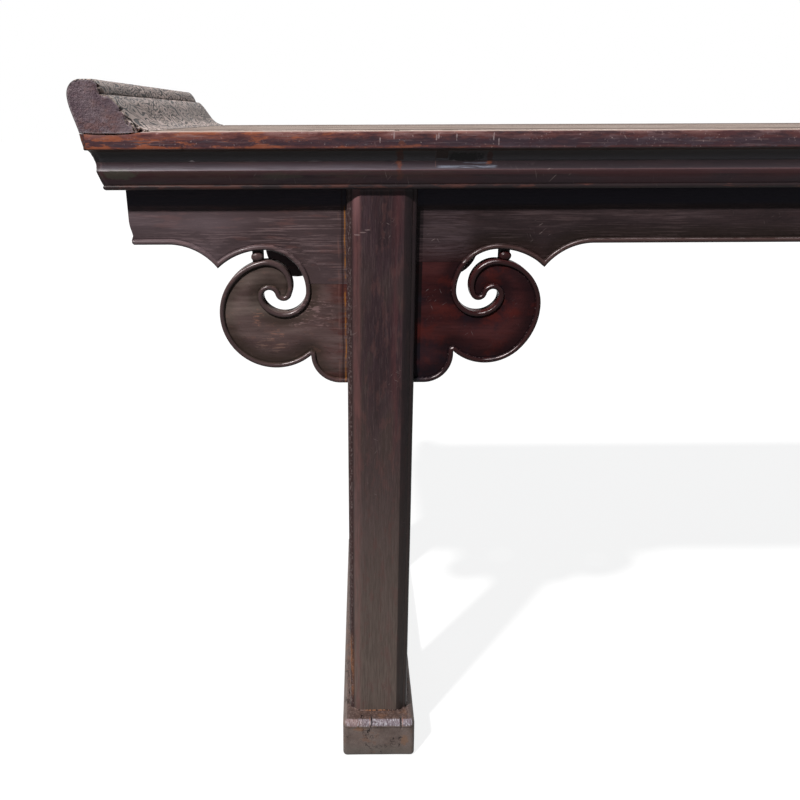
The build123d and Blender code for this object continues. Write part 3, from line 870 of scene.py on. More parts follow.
def makeFlangeFace():
    # grey weathered wood with a dark figure of curling, broken lines
    m = startFinish("flangeFace", flangeFace)
    waves = calc("SINE", fuzz(m.grain, (20, 42, 42), 1) * flangeFace["curls"])
    broken = mottle(m.grain, (80, 120, 120), 0.32, 0.4)
    figure = above(waves, 0.16, 0.4) * broken
    lay(m, figure, flangeFace["figure"], 0.96)
    lay(m, figure * mottle(m.grain, (260, 260, 260), 0.6, 0.7), "#5d3a33", 0.8)
    sink(m, figure, 2.0)
    crackLines(m, (9, 60, 60), 1.6, 0.6, "#1f1918", 1.5)
    outside = above(abs(axes(m.place)[0]), 1.186, 1.1905)
    lay(m, outside * mottle(m.grain, (16, 60, 60), 0.3, 0.42, 5, 0.66), "#3a2d2f", 0.88)
    return endFinish(m)


def makeFlangeEnd():
    # sawn end: faint growth arcs and a few drying cracks
    m = startFinish("flangeEnd", flangeEnd)
    apart = vectorCalc("SUBTRACT", m.place, flangeEnd["heart"])
    apart = vectorCalc("LENGTH", vectorCalc("MULTIPLY", apart, (1, 0, 1)), (0, 0, 0), "Value")
    rings = apart * flangeEnd["rings"] + fuzz(m.grain, (40, 40, 40)) * 16
    lay(m, above(calc("SINE", rings), 0.3, 0.95), "#7d6f74", 0.15)
    crackLines(m, (16, 12, 30), 0.8, 0.35, "#1a1315", 1.5)
    grit = fuzz(m.grain, (420, 420, 420), 3, 0.7)
    lay(m, above(grit, 0.52, 0.66), "#8b7d82", 0.3)
    ruddy = mottle(m.place, (60, 60, 90), 0.48, 0.62, 4, 0.7)
    lay(m, ruddy * (0.25 + below(axes(m.place)[2], 0.902, 0.932) * 0.75), "#74504a", 0.5)
    sink(m, grit, 0.9)
    sink(m, fuzz(m.grain, (150, 150, 150), 3, 0.65), 2.0)
    return endFinish(m)


# carved aprons and cloud-scroll spandrels

carved = {
    "legX": 847.0, "face": 244.0, "thickness": 22.0, "underTop": 834.0, "apronBottom": 767.0,
    "apronEnd": 1154.5, "boardBottom": 587.0, "seams": {"outer": 718.0, "inner": 745.0},
    "crownOut": 145.3, "crownHeight": 760.0, "throat": 50.7, "arch": (86.0, -42.6), "shoulder": 74.0,
    "curl": [(28.5, 140.6), (17.0, 39.4), (8.0, 166.2), (10.5, -144.7)], "lobe": 38.0,
    "bead": 3.2, "quirk": 3.1, "swell": 22.0, "backEase": 0.8,
    "rows": (0.4, 1.0, 1.9, 3.1, 4.3, 5.2, 5.8, 6.25, 6.8, 7.8, 9.6, 12, 15.5, 20, 26),
}
carvedSatin = {
    **oldLacquer, "dark": "#4c3c3c", "light": "#645251", "streak": "#33241f", "streakShare": 0.3,
    "fineness": 0.7, "patch": "#6b504c", "patchAmount": 0.3, "patchShare": 0.35, "patchSoft": 0.3,
    "worn": "#5f4b4b", "wornShare": 0.15, "breakup": 1.4, "scuffs": 0.35, "beadColour": "#332526",
    "crestCoat": 0.2, "coatRoughness": 0.22, "sweep": "#2c241d",
    "gloss": 0.05, "wax": 0.55, "chafed": [  # centre, radius, colour
        ((-935, -244, 680), (34, 10, 24), "#8f7474"), ((-985, -244, 640), (26, 10, 12), "#85695f"),
        ((-1003, -244, 676), (9, 10, 12), "#94695a"), ((-980, -244, 652), (11, 10, 9), "#94695a"),
    ],
}
carvedGloss = {
    **oldLacquer, "dark": "#2e1517", "light": "#412324", "streak": "#180b0d", "streakShare": 0.25,
    "fineness": 0.6, "patch": "#4b201b", "patchAmount": 0.35, "patchShare": 0.3, "patchSoft": 0.4,
    "worn": "#35191b", "wornShare": 0.15, "scratch": "#8f8587", "scuffs": 0.2, "roughness": 0.26,
    "gloss": 0.03, "crestCoat": 0.17, "coatRoughness": 0.2, "bump": 0.35, "grime": "#0a0609",
    "beadColour": "#200a0b", "sweep": "#120c10", "wax": 0.75,
}
carvedPlain = {
    **oldLacquer, "dark": "#2d2325", "light": "#3c3133", "patch": "#54403f", "patchAmount": 0.3,
    "patchShare": 0.25, "patchSoft": 0.3, "scuffs": 0.3, "wornShare": 0.15, "beadColour": "#2b1d1e",
    "crestCoat": 0.15, "coatRoughness": 0.22, "gloss": 0.05, "sweep": "#241c18", "wax": 0.5,
}


def startCarved(name, f):
    # the bead round every cut edge keeps its own darker colour; the quirk and the swell beside it get
    # painted shade, the beads' upward slopes painted highlights, and the face beside each leg the leg's
    # painted shadow
    m = startFinish(name, f)
    x, y = axes(m.place)[:2]
    # painted shade along the quirk and over the ground's swell beside the bead
    lay(m, above(m.hollow, 0.04, 0.42), f["sweep"], 0.66)
    lay(m, above(m.edge, 0.1, 0.5), f["beadColour"], 0.85)
    lay(m, m.rubbed, f["worn"], f["wornShare"])
    way = outOf("NewGeometry", output="Normal")
    # painted highlight lines along the beads' upward slopes
    lay(m, maskFrom("wax", Vector=m.grain, Normal=way, Edge=m.edge), "#c3b4b6", f["wax"])
    # a near-black strip on the face beside each leg: the leg's painted shadow
    apart, onFace = fromLeg(x), above(abs(y), 0.236, 0.237)
    lay(m, within(apart, -0.0508, -0.04, 0.0007) * onFace, "#0d090b", 0.9)
    return m


def fromLeg(x):
    # distance outwards from the middle of the nearest leg
    return abs(x) - carved["legX"] * mm


def makeCarvedSatin():
    # brown-grey satin with reddish wear, and ochre filler along the joint beside each leg
    m = startCarved("carvedSatin", carvedSatin)
    x, _, z = axes(m.place)
    apart = fromLeg(x)
    beside = below(apart, 0.045, 0.085)
    lay(m, beside * mottle(m.grain, (22, 60, 60), 0.38, 0.6, 4, 0.65), "#46211e", 0.85)
    lay(m, mottle(m.grain, (60, 110, 110), 0.56, 0.68, 4, 0.7), "#7d5a50", 0.18)
    lay(m, mottle(m.grain, (9, 330, 330), 0.56, 0.68, 3, 0.6) * beside, "#8a7072", 0.2)
    # paler grey on the ground of the upper disc, away from the beads: a painted sheen
    onSwell = below(m.edge, 0.05, 0.3)
    upper = within(apart, 0.1, 0.2, 0.03) * within(z, 0.66, 0.735, 0.02)
    lay(m, upper * onSwell * m.cloud, "#7d706a", 0.42)
    threads = mottle(m.grain, (55, 480, 480), 0.5, 0.6, 3, 0.65)
    for centre, reach, code in carvedSatin["chafed"]:
        lay(m, spotMask(m, centre, reach, 1.4) * threads, code, 0.45)
    addJointLine(m)
    return endFinish(m)


def addJointLine(m):
    # old filler, brightest where it was never rubbed back
    line = useGroup("jointLine", Vector=m.place)
    lay(m, line["Filler"], "#935f2d", 0.8)
    lay(m, line["Shadow"], "#241717", 0.6)
    lay(m, line["Faint"], "#7d5a54", 0.3)


def makeCarvedGloss():
    # deep red-brown, polished by handling, clouded blue-black
    m = startCarved("carvedGloss", carvedGloss)
    ruddy = mottle(m.grain, (24, 34, 34), 0.5, 0.68, 4, 0.6)
    lay(m, ruddy * below(m.edge, 0.1, 0.4), "#4c1d19", 0.55)
    lay(m, mottle(m.place, (19, 19, 16), 0.5, 0.66, 4, 0.62), "#17151c", 0.62)
    dust = mottle(m.grain, (420, 420, 420), 0.58, 0.66)
    lay(m, above(m.hollow, 0.45, 0.9) * dust, "#6d5c5e", 0.5)
    return endFinish(m)


def makeCarvedPlain():
    # duller than the spandrels, and paler toward the ends of the table
    m = startCarved("carvedPlain", carvedPlain)
    x, _, z = axes(m.place)
    outer = above(abs(x), 0.8, 0.95)
    lay(m, outer, "#504143", 0.65)
    fine = mottle(m.grain, (16, 520, 520), 0.49, 0.6, 4, 0.66) * (0.3 + outer * 0.7)
    lay(m, fine * mottle(m.place, (14, 14, 30), 0.36, 0.62, 4, 0.65), "#7d696b", 0.5)
    lay(m, mottle(m.grain, (20, 120, 120), 0.54, 0.66, 4, 0.66) * outer, "#74504c", 0.3)
    inner = below(abs(x), 0.79, 0.81) * above(abs(x), 0.6, 0.7)
    lay(m, inner * below(z, 0.745, 0.778), "#2b1315", 0.65)
    beside = within(abs(x), 0.74, 0.795, 0.012) * above(z, 0.745, 0.76)
    lay(m, beside * m.streak, "#5c4d52", 0.4)
    lay(m, above(abs(x), 0.97, 1.08) * (0.45 + m.cloud * 0.55), "#7a6b71", 0.45)
    # bluish near-black high on the apron: the painted shadow of the top's overhang
    lay(m, above(z, 0.811, 0.817), "#34323d", 0.8)
    addJointLine(m)
    return endFinish(m)


volutes = {
    ("front", "outer"): [(32.5, -124.7), (70.0, -206.7)],
    ("front", "inner"): [(32.5, -111.5), (59.0, -90.0), (80.0, -45.0), (62.0, -87.0)],
    ("rear", "outer"): [(32.5, -124.7), (55.0, -206.7)],
    ("rear", "inner"): [(32.5, -124.7), (55.0, -206.7)],
}


def arcChain(start, heading, steps, spacing=1.4):
    # points along arcs that each leave tangent to the one before; a positive turn is anticlockwise
    points = [np.array(start, float)]
    for radius, turn in steps:
        side = 1 if turn > 0 else -1
        h = radians(heading)
        centre = points[-1] + radius * side * np.array([-sin(h), cos(h)])
        count = max(3, ceil(radius * radians(abs(turn)) / spacing))
        for i in range(1, count + 1):
            a = radians(heading + turn * i / count)
            points.append(centre + radius * side * np.array([sin(a), -cos(a)]))
        heading += turn
    return np.array(points)


def throatAt(seam):
    # angle on the throat arc at the seam's height, and the point there
    c = carved
    middle = c["crownHeight"] - c["throat"]
    angle = 180 - degrees(asin((seam - middle) / c["throat"]))
    point = (c["crownOut"] + c["throat"] * cos(radians(angle)), middle + c["throat"] * sin(radians(angle)))
    return angle, point


def apronDrop(seam):
    # the apron's edge beside a leg, from its straight run to the seam: shoulder, cusp and arch
    c = carved
    angle, start = throatAt(seam)
    arch = arcChain(start, angle - 90, [(c["throat"], 90 - angle), c["arch"]])
    climb = degrees(acos((c["shoulder"] - (c["apronBottom"] - arch[-1][1])) / c["shoulder"]))
    shoulder = arcChain(arch[-1], climb, [(c["shoulder"], -climb)])
    return np.concatenate([arch, shoulder[1:]])[::-1]


def scrollEdge(seam, volute):
    # the spandrel's edge from the seam round the scroll to its bottom
    c = carved
    angle, start = throatAt(seam)
    scrollLine = arcChain(start, angle + 90, [(c["throat"], 180 - angle), *c["curl"], *volute])
    rise = scrollLine[-1][1] - c["boardBottom"] - c["lobe"]
    tilt = degrees(asin(rise / c["lobe"]))
    lobe = arcChain(scrollLine[-1], tilt - 90, [(c["lobe"], -90 - tilt)])
    return np.concatenate([scrollLine, lobe[1:]])


def carvedProfile(apart):
    # depth below the face at a distance from the carved edge: round bead, quirk, ground swelling back up;
    # then how much of it is bead, and how much is quirk or the swell beside it, which gets painted shade
    c = carved
    width = 2 * c["bead"]
    over = np.clip((apart - c["bead"]) / c["bead"], -1, 1)
    bead = c["bead"] * (1 - np.sqrt(1 - over ** 2))
    t = np.clip((apart - width) / c["swell"], 0, 1)
    ground = c["quirk"] * (1 - t * t * (3 - 2 * t)) + 0.15
    quirk = 0.5 * np.exp(-((apart - width - 0.2) / 0.5) ** 2)
    sweep = 0.42 * np.exp(-(np.maximum(apart - width, 0) / 16) ** 2) * (apart > width)
    groove = np.exp(-((apart - width - 0.4) / 1.0) ** 2)
    depth = np.where(apart < width, np.minimum(bead, c["quirk"]), ground)
    depth += np.where(apart < width - 0.6, 0, quirk)
    return depth, np.exp(-((apart - c["bead"]) / 2.3) ** 4), np.maximum(groove, sweep)


boardMesh = {
    "corner": 0.4,  # sine of the turn from which the outline has a corner
    "lattice": 6.5, "clear": 0.34, "weld": 0.45,  # spacing away from the carving, room at the rim, snap
}


def carveBoard(outline, exposed, lines, profile=None, rows=None, thickness=None, bothFaces=False):
    # a board in (across, inwards, up), cut to the outline, its face shaped by the distance to the lines
    profile, rows = profile or carvedProfile, rows or carved["rows"]
    thickness = thickness or carved["thickness"]
    following = np.roll(outline, -1, 0)
    if (outline[:, 0] * following[:, 1] - outline[:, 1] * following[:, 0]).sum() < 0:
        return carveBoard(outline[::-1], exposed[::-1], lines, profile, rows, thickness, bothFaces)
    ahead = following - outline
    ahead /= np.linalg.norm(ahead, axis=1)[:, None]
    behind = np.roll(ahead, 1, 0)
    left, right = (columns(-e[:, 1], e[:, 0]) for e in (behind, ahead))
    turn = behind[:, 0] * ahead[:, 1] - behind[:, 1] * ahead[:, 0]
    inward = left + right
    inward /= np.maximum(np.linalg.norm(inward, axis=1), 1e-6)[:, None]
    start, end = (np.concatenate([line[part] for line in lines]) for part in (slice(-1), slice(1, None)))
    b, found = boardMesh, []
    for row in rows:
        stride = 1 if row < 9 else 2 if row < 15 else 3
        usable = np.nonzero(exposed & (abs(turn) < b["corner"]))[0][::stride]
        tries = [outline[usable] + inward[usable] * row]
        for i in np.nonzero(exposed & (turn < -b["corner"]))[0]:
            for share in np.linspace(0, 1, max(2, ceil(row))):
                lean = left[i] * (1 - share) + right[i] * share
                tries.append((outline[i] + lean / np.linalg.norm(lean) * row)[None])
        tries = np.concatenate(tries)
        tries = tries[insideOf(tries, outline)]
        if len(tries):
            found.append(tries[abs(distanceTo(tries, start, end) - row) < 0.06 + row * 0.01])
    plain = latticeIn(outline, 3, b["lattice"])
    found.append(plain[distanceTo(plain, start, end) > rows[-1] + 3])
    inner = np.concatenate(found)
    inner = inner[distanceTo(inner, outline, following) > b["clear"]]
    keep = np.unique(np.round(inner / b["weld"]), axis=0, return_index=True)[1]
    flat, tris, origin = triangles(outline, inner[np.sort(keep)])
    depth, *carving = profile(distanceTo(flat, start, end))
    crests = columns(*carving)
    count = len(outline)
    found = {source: i for i, sources in enumerate(origin) for source in sources if source < count}
    rim = [found[i] for i in range(count)]
    front = columns(flat[:, 0], depth, flat[:, 1])
    deep = thickness - depth[rim] if bothFaces else thickness
    ease = 0 if bothFaces else carved["backEase"]
    across, up = outline.T
    shoulder = np.maximum(depth[rim] + 0.1, 4)
    walls = [front[rim], columns(across, shoulder, up), columns(across, deep - max(ease, 1), up)]
    if bothFaces:
        walls.append(columns(across, deep, up))
        back, backMarks = (columns(flat[:, 0], thickness - depth, flat[:, 1]), tris), crests
    else:
        shrunk = outline + inward * ease
        walls.append(columns(shrunk[:, 0], deep, shrunk[:, 1]))
        cap, capTris = triangles(shrunk)[:2]
        back, backMarks = (columns(cap[:, 0], thickness, cap[:, 1]), capTris), np.zeros((len(cap), 2))
    wallMarks = np.zeros((len(walls) * count, 2))
    wallMarks[:count] = crests[rim]
    marks = np.concatenate([crests, wallMarks, backMarks])
    return *joined((front, tris), (np.concatenate(walls), skin(4, count)), back), marks


def buildSpandrels(finishes):
    c = carved
    for (faceName, place), volute in volutes.items():
        seam = c["seams"][place]
        edge = scrollEdge(seam, volute)
        closing = evenly([edge[-1], (0, c["boardBottom"])], 4)[1:]
        side = evenly([(0, c["boardBottom"]), (0, seam)], 8)[1:]
        joint = evenly([(0, seam), edge[0]], 2.5)[1:-1]
        outline = np.concatenate([edge, closing, side, joint])
        exposed = np.arange(len(outline)) < len(edge) + len(closing) - 1
        exposed[0] = False
        wholeLine = np.concatenate([apronDrop(seam), edge[1:], closing])
        points, faces, marks = carveBoard(outline, exposed, [wholeLine])
        across, deep, up = points.T
        up = np.where(abs(up - seam) < 0.01, up - 0.25, up)
        front = dict(fronts)[faceName]
        for sideName, sign in sides:
            out = sign if place == "outer" else -sign
            world = columns(sign * c["legX"] + out * across, front * (c["face"] - deep), up)
            node = f"{sideName}_{faceName}_{place}_spandrel"
            makePiece(node, world, faces, finishes[faceName, place], "X", 42, marks=marks)


def apronHalf():
    # lower edge of the front apron from the middle to the right end, and which points show
    c = carved
    inner, outer = (
        apronDrop(c["seams"][place]) * (way, 1) + (c["legX"], 0)
        for place, way in (("inner", -1), ("outer", 1))
    )
    innerSeam = evenly([inner[-1], (c["legX"], c["seams"]["inner"])], 2.5)
    step = evenly([innerSeam[-1], (c["legX"], c["seams"]["outer"])], 8)
    parts = [
        (evenly([(0, c["apronBottom"]), inner[0]], 5), True), (inner[1:], True), (innerSeam[1:], False),
        (step[1:], False), (evenly([step[-1], outer[-1]], 2.5)[1:], False), (outer[::-1][1:], True),
        (evenly([outer[0], (c["apronEnd"], c["apronBottom"])], 5)[1:], True),
    ]
    shown = np.concatenate([np.full(len(points), flag) for points, flag in parts])
    return np.concatenate([points for points, flag in parts]), shown


def mitred(points, halfLength):
    # the board's ends cut back at 45 degrees; gives across, inwards and up
    limit = halfLength - points[:, 1]
    return np.clip(points[:, 0], -limit, limit), points[:, 1], points[:, 2]


def buildAprons(finish):
    c = carved
    half, shown = apronHalf()
    end, bottom, over = c["apronEnd"], c["apronBottom"], c["underTop"]
    rise, upper = evenly([(end, bottom), (end, over)], 6), evenly([(end, over), (0, over)], 16)
    rest = np.concatenate([rise[1:], upper[1:-1]])
    right = np.concatenate([half, rest])
    flags = np.concatenate([shown, np.zeros(len(rest), bool)])
    outline = np.concatenate([right, [(0, over)], right[:0:-1] * (-1, 1)])
    exposed = np.concatenate([flags, [False], flags[:0:-1]])
    inner, outer = (apronDrop(c["seams"][k])[0][0] for k in ("inner", "outer"))
    for faceName, front in fronts:
        paths = []
        for side in (-1, 1):
            for place, out in (("outer", side), ("inner", -side)):
                seam = c["seams"][place]
                line = np.concatenate([apronDrop(seam), scrollEdge(seam, volutes[faceName, place])[1:]])
                paths.append(line * (out, 1) + (side * c["legX"], 0))
            paths.append(np.array([(0, bottom), (side * (c["legX"] - inner), bottom)]))
            paths.append(np.array([(side * (c["legX"] + outer), bottom), (side * (end + 20), bottom)]))
        points, faces, marks = carveBoard(outline, exposed, paths)
        across, deep, up = mitred(points, end)
        world = columns(across, front * (c["face"] - deep), up)
        makePiece(faceName + "_apron", world, faces, [finish], "X", 42, marks=marks)
    buildEndAprons(finish)


def buildEndAprons(finish):
    c = carved
    face, bottom, over = c["face"], c["apronBottom"], c["underTop"]
    lower = evenly([(-face, bottom), (face, bottom)], 5)
    outline = np.concatenate([lower, evenly([lower[-1], (face, over), (-face, over), lower[0]], 8)[1:-1]])
    line = np.array([(-face - 20, bottom), (face + 20, bottom)])
    points, faces, marks = carveBoard(outline, np.arange(len(outline)) < len(lower), [line])
    across, deep, up = mitred(points, face)
    for sideName, side in sides:
        world = columns(side * (c["apronEnd"] - deep), across, up)
        makePiece(sideName + "_end_apron", world, faces, [finish], "Y", 42, marks=marks)


linkBead = {
    "out": 154.0, "size": (8.1, 6.0, 6.3), "height": 751.0, "lump": 0.05,
    "stub": 7.0, "stubDepth": (224, 233),
}
# the stub behind each ball, painted near-black as shade
stubPaintedShade = {
    **oldLacquer, "dark": "#120f11", "light": "#1f191b", "patchShare": 0.1, "worn": "#2c2324",
    "crestCoat": 0.1,
}


def buildLinkBeads(finishes):
    # a carved ball on a stub painted near-black as shade, in the gap between volute and arch
    b = linkBead
    bm = bmesh.new()
    bmesh.ops.create_icosphere(bm, subdivisions=4, radius=1)
    ball = np.array([v.co for v in bm.verts])
    ballFaces = [[v.index for v in f.verts] for f in bm.faces]
    bm.free()
    for (sideName, side), (faceName, front), place in product(sides, fronts, ("outer", "inner")):
        node = f"{sideName}_{faceName}_{place}_link_bead"
        low, high = (np.array(v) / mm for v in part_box(node))
        x = side * (carved["legX"] + (1 if place == "outer" else -1) * b["out"])
        near, far = sorted(front * depth for depth in b["stubDepth"])
        nearEnd, farEnd = (x - b["stub"], near, low[2] + 0.1), (x + b["stub"], far, high[2] - 0.1)
        stub = easedBlock(nearEnd, farEnd, 1.2, 2, 2, 3)
        shape = ball * ((1 - b["lump"] * unevenness(ball, 0.8, seedOf(node)))[:, None] * b["size"])
        centre = np.array([x, front * (carved["face"] - 0.6 - b["size"][1]), b["height"]])
        points, faces = joined((shape + centre, ballFaces), stub)

        def pickFinish(face, centre=centre):
            away = (np.array(face.calc_center_median()) - centre) / b["size"]
            return int(np.linalg.norm(away) > 1.03)

        makePiece(node, points, faces, finishes[place], "Z", 45, 1.5, pickFinish)


# legs, base rails, stretchers and rings

def gridBox(*stops):
    # the six faces of a box as grids through the given stops in x, y and z
    parts = []
    for axis in range(3):
        a, b = (stops[i] for i in range(3) if i != axis)
        grid = np.array([(u, v) for u in a for v in b])
        n = len(b)
        faces = [
            (i * n + j, (i + 1) * n + j, (i + 1) * n + j + 1, i * n + j + 1)
            for i in range(len(a) - 1) for j in range(n - 1)
        ]
        for level in (stops[axis][0], stops[axis][-1]):
            parts.append((np.insert(grid, axis, level, axis=1), faces))
    return joined(*parts)


def roundOff(points, low, high, radius):
    # rounds a box's edges by its radius, which may differ from point to point
    radius = np.broadcast_to(np.asarray(radius, float), (len(points),))[:, None]
    inner = np.clip(points, np.asarray(low) + radius, np.asarray(high) - radius)
    away = points - inner
    size = np.linalg.norm(away, axis=1)[:, None]
    return np.where(size > 1e-6, inner + away / np.maximum(size, 1e-6) * radius, points)


def easedBlock(low, high, radius, fine=1.2, coarse=12, margin=6):
    # a box with its edges rounded
    margin = min(margin, *(0.45 * (h - l) for l, h in zip(low, high)))
    points, faces = gridBox(*(graded(l, h, fine, coarse, margin) for l, h in zip(low, high)))
    return roundOff(points, low, high, radius), faces


leg = {
    "half": 43.0, "front": 258.0, "depth": 60.0, "foot": 66.0, "head": 834.0, "slotBottom": 587.0,
    "flat": 26.5, "shoulderDrop": 4.6, "quirk": 36.6, "backCorner": 5.0, "step": 6.0, "worn": 0.3,
    "easedFoot": 0.012,
}
legLacquer = {
    **oldLacquer, "dark": "#322428", "light": "#413136", "streak": "#1d1518", "streakShare": 0.45,
    "patch": "#4d3636", "patchAmount": 0.2, "patchShare": 0.35, "patchSoft": 0.2, "worn": "#6d5a5e",
    "wornShare": 0.4, "edgeWear": 0.9, "scuffs": 0.2, "fineness": 1.1, "roughness": 0.3, "gloss": 0.08,
    "crestCoat": 0.1,
    "nicks": [(-864.5, 786.2), (-870.5, 783.2), (-877.5, 780.2)],
}


def makeLegLacquer():
    # greyer and barer toward the foot, with reddish runs down both shoulders; the outer shoulders painted
    # pinker as a highlight and the inner ones painted dark as shade
    m = startFinish("legLacquer", legLacquer)
    x, y, z = axes(m.place)
    low = below(z, 0.1, 0.66)
    lay(m, low, "#665b54", 0.75)
    lay(m, low * m.streak, "#352b2a", 0.4)
    lay(m, within(z, 0.45, 0.74, 0.06) * above(m.cloud, 0.3, 0.9), "#3c322d", 0.5)
    lay(m, mottle(m.grain, (45, 520, 520), 0.52, 0.66, 3, 0.65), "#6a5a59", 0.15)
    lay(m, mottle(m.grain, (30, 90, 90), 0.5, 0.64, 5, 0.65), "#583c3a", 0.34)
    apart = fromLeg(x)
    bevel = above(apart, 0.0365, 0.038)
    lay(m, bevel, "#332424", 0.9)
    lay(m, bevel * mottle(m.place, (520, 520, 260), 0.5, 0.62, 3, 0.7), "#8a7a79", 0.34)
    lay(m, within(apart, 0.0355, 0.0375, 0.0006), "#1d1518", 0.6)
    # the inner shoulder painted dark, as shade on the side turned from the lamp
    lay(m, below(apart, -0.0275, -0.0255), "#1b1719", 0.7)
    outer, inner = within(apart, 0.027, 0.035, 0.003), within(apart, -0.024, -0.014, 0.006)
    runs = calc("MAXIMUM", outer, inner) * above(z, 0.35, 0.6)
    lay(m, runs * mottle(m.grain, (8, 130, 130), 0.36, 0.6, 4, 0.6), "#593335", 0.4)
    # paler pink on the outer shoulder, most on the left legs and near the top: a painted highlight
    shoulder = within(x * -1, 0.8735, 0.8825, 0.003)
    lay(m, shoulder * (0.25 + mottle(m.grain, (18, 260, 260), 0.4, 0.6, 5, 0.7) * 0.75), "#6a4947", 0.42)
    lay(m, outer * above(z, 0.77, 0.825), "#93696b", 0.4)
    side = above(apart, 0.034, 0.041) * within(z, 0.09, 0.19, 0.02) * above(abs(y), 0.236, 0.246)
    lay(m, side * above(m.patch, 0.42, 0.58), "#8c5c3c", 0.6)
    seam = below(z, 0.0672, 0.0688)  # the lowest rim, where the leg enters the base rail
    lay(m, seam, "#1a1213", 0.8)
    fibres = mottle(m.place, (260, 60, 60), 0.44, 0.56, 4, 0.7)
    lay(m, seam * fibres, "#9c8580", 0.8)
    lay(m, seam * (fibres * within(apart, -0.016, 0.02, 0.006)), "#b3794f", 0.85)
    for across, height in legLacquer["nicks"]:
        spot(m, "#8f7b7a", (across, -258, height), (4.4, 8, 0.9), 0.5, 1.5)
    return endFinish(m)


def legSection():
    # (across, back from the front face) once round, with a soft shoulder and a roll at the front corners
    g = leg
    half, depth, r = g["half"], g["depth"], g["backCorner"]
    shoulder = throughThree((g["flat"], 0), (32.0, 1.7), (g["quirk"], g["shoulderDrop"]), 9)
    roll = throughThree((g["quirk"] + 0.5, g["shoulderDrop"] + 0.7), (40.9, 6.5), (half, 9.4), 8)
    side = evenly([roll[-1], (half, depth - r)], 6)[1:]
    turn = np.linspace(0, pi / 2, 6)[1:]
    corner = columns(half - r * (1 - np.cos(turn)), depth - r * (1 - np.sin(turn)))
    back = evenly([corner[-1], (0, depth)], 8)[1:]
    right = np.concatenate([evenly([(0, 0), shoulder[0]], 4), shoulder[1:], roll, side, corner, back])
    return np.concatenate([right, right[-2:0:-1] * (-1, 1)])


def buildLegs(finish):
    g = leg
    section = legSection()
    middle = np.array([0.0, g["depth"] / 2])
    slot = (carved["face"] + 0.1, carved["face"] - carved["thickness"] - 0.1)
    for (sideName, side), (faceName, front) in product(sides, fronts):
        node = f"{sideName}_{faceName}_leg"
        seed, x = seedOf(camel(node)), side * carved["legX"]
        rings = []
        for z in graded(g["foot"], g["head"], 2, g["step"], 8):
            ring = section.copy()
            wave = np.array([noise.noise(Vector((p[0] / 30, p[1] / 30, z / 90 + seed))) for p in ring])
            way = (middle - ring) / np.linalg.norm(middle - ring, axis=1)[:, None]
            ring += way * (g["worn"] * (0.5 + wave))[:, None]
            ring += (middle - ring) * g["easedFoot"] * (1 - min(z - g["foot"], 2) / 2)
            rings.append(columns(x + ring[:, 0], front * (g["front"] - ring[:, 1]), z))
        near, far = sorted(front * depth for depth in slot)
        low, high = (x - 60, near, g["slotBottom"] - 0.1), (x + 60, far, g["head"] + 20)
        cut = easedBlock(low, high, 0.2, 30, 30, 10)
        dressMesh(node, slotted(loft(rings), cut), [finish], "Z", 2.2)


def slotted(*solids):
    # the first solid with the second cut out of it
    made = []
    for points, faces in solids:
        mesh = bpy.data.meshes.new("work")
        bm = bmesh.new()
        for p in points:
            bm.verts.new(p * mm)
        bm.verts.ensure_lookup_table()
        for face in faces:
            bm.faces.new([bm.verts[i] for i in face])
        bmesh.ops.remove_doubles(bm, verts=bm.verts, dist=1e-5)
        bmesh.ops.recalc_face_normals(bm, faces=bm.faces)
        bm.to_mesh(mesh)
        bm.free()
        made.append(addObject("work", mesh))
    cutter = made[0].modifiers.new("slot", "BOOLEAN")
    cutter.operation = "DIFFERENCE"
    cutter.solver = "EXACT"
    cutter.object = made[1]
    result = bpy.data.meshes.new_from_object(made[0].evaluated_get(bpy.context.evaluated_depsgraph_get()))
    for obj in made:
        bpy.data.objects.remove(obj)
    bm = bmesh.new()
    bm.from_mesh(result)
    shade(bm)
    bm.to_mesh(result)
    bm.free()
    return result


foot = {
    "half": 54.0, "length": 281.0, "height": 66.0, "rounding": 9.5, "lowRounding": 6.0, "pad": 140.0,
    "relief": 14.0, "reliefCorner": 12.6, "cracks": ((-11, 1.5), (33, 1.8), (-30, 0.8)), "wear": 1.6,
    "taper": 7.0, "meshStep": 1.35, "crackFrom": 262, "crackAbove": 50,
}
footLacquer = {
    **oldLacquer, "dark": "#5a4e4a", "light": "#6f635f", "streak": "#483c38", "streakShare": 0.35,
    "patch": "#75625a", "patchAmount": 0.35, "patchShare": 0.35, "patchSoft": 0.25, "worn": "#857877",
    "edgeWear": 1.1, "wornShare": 0.4, "scuffs": 0.5, "poreShare": 0.15, "roughness": 0.38,
    "gloss": 0.08, "bump": 0.8, "relief": 0.8,
    "crestCoat": 0.1, "splits": [
        (-858, "#140f0f", 0.85), (-814, "#140f0f", 0.85),
        (-860.5, "#8c5a3d", 0.4), (-811.5, "#8c5a3d", 0.4),
    ],
}


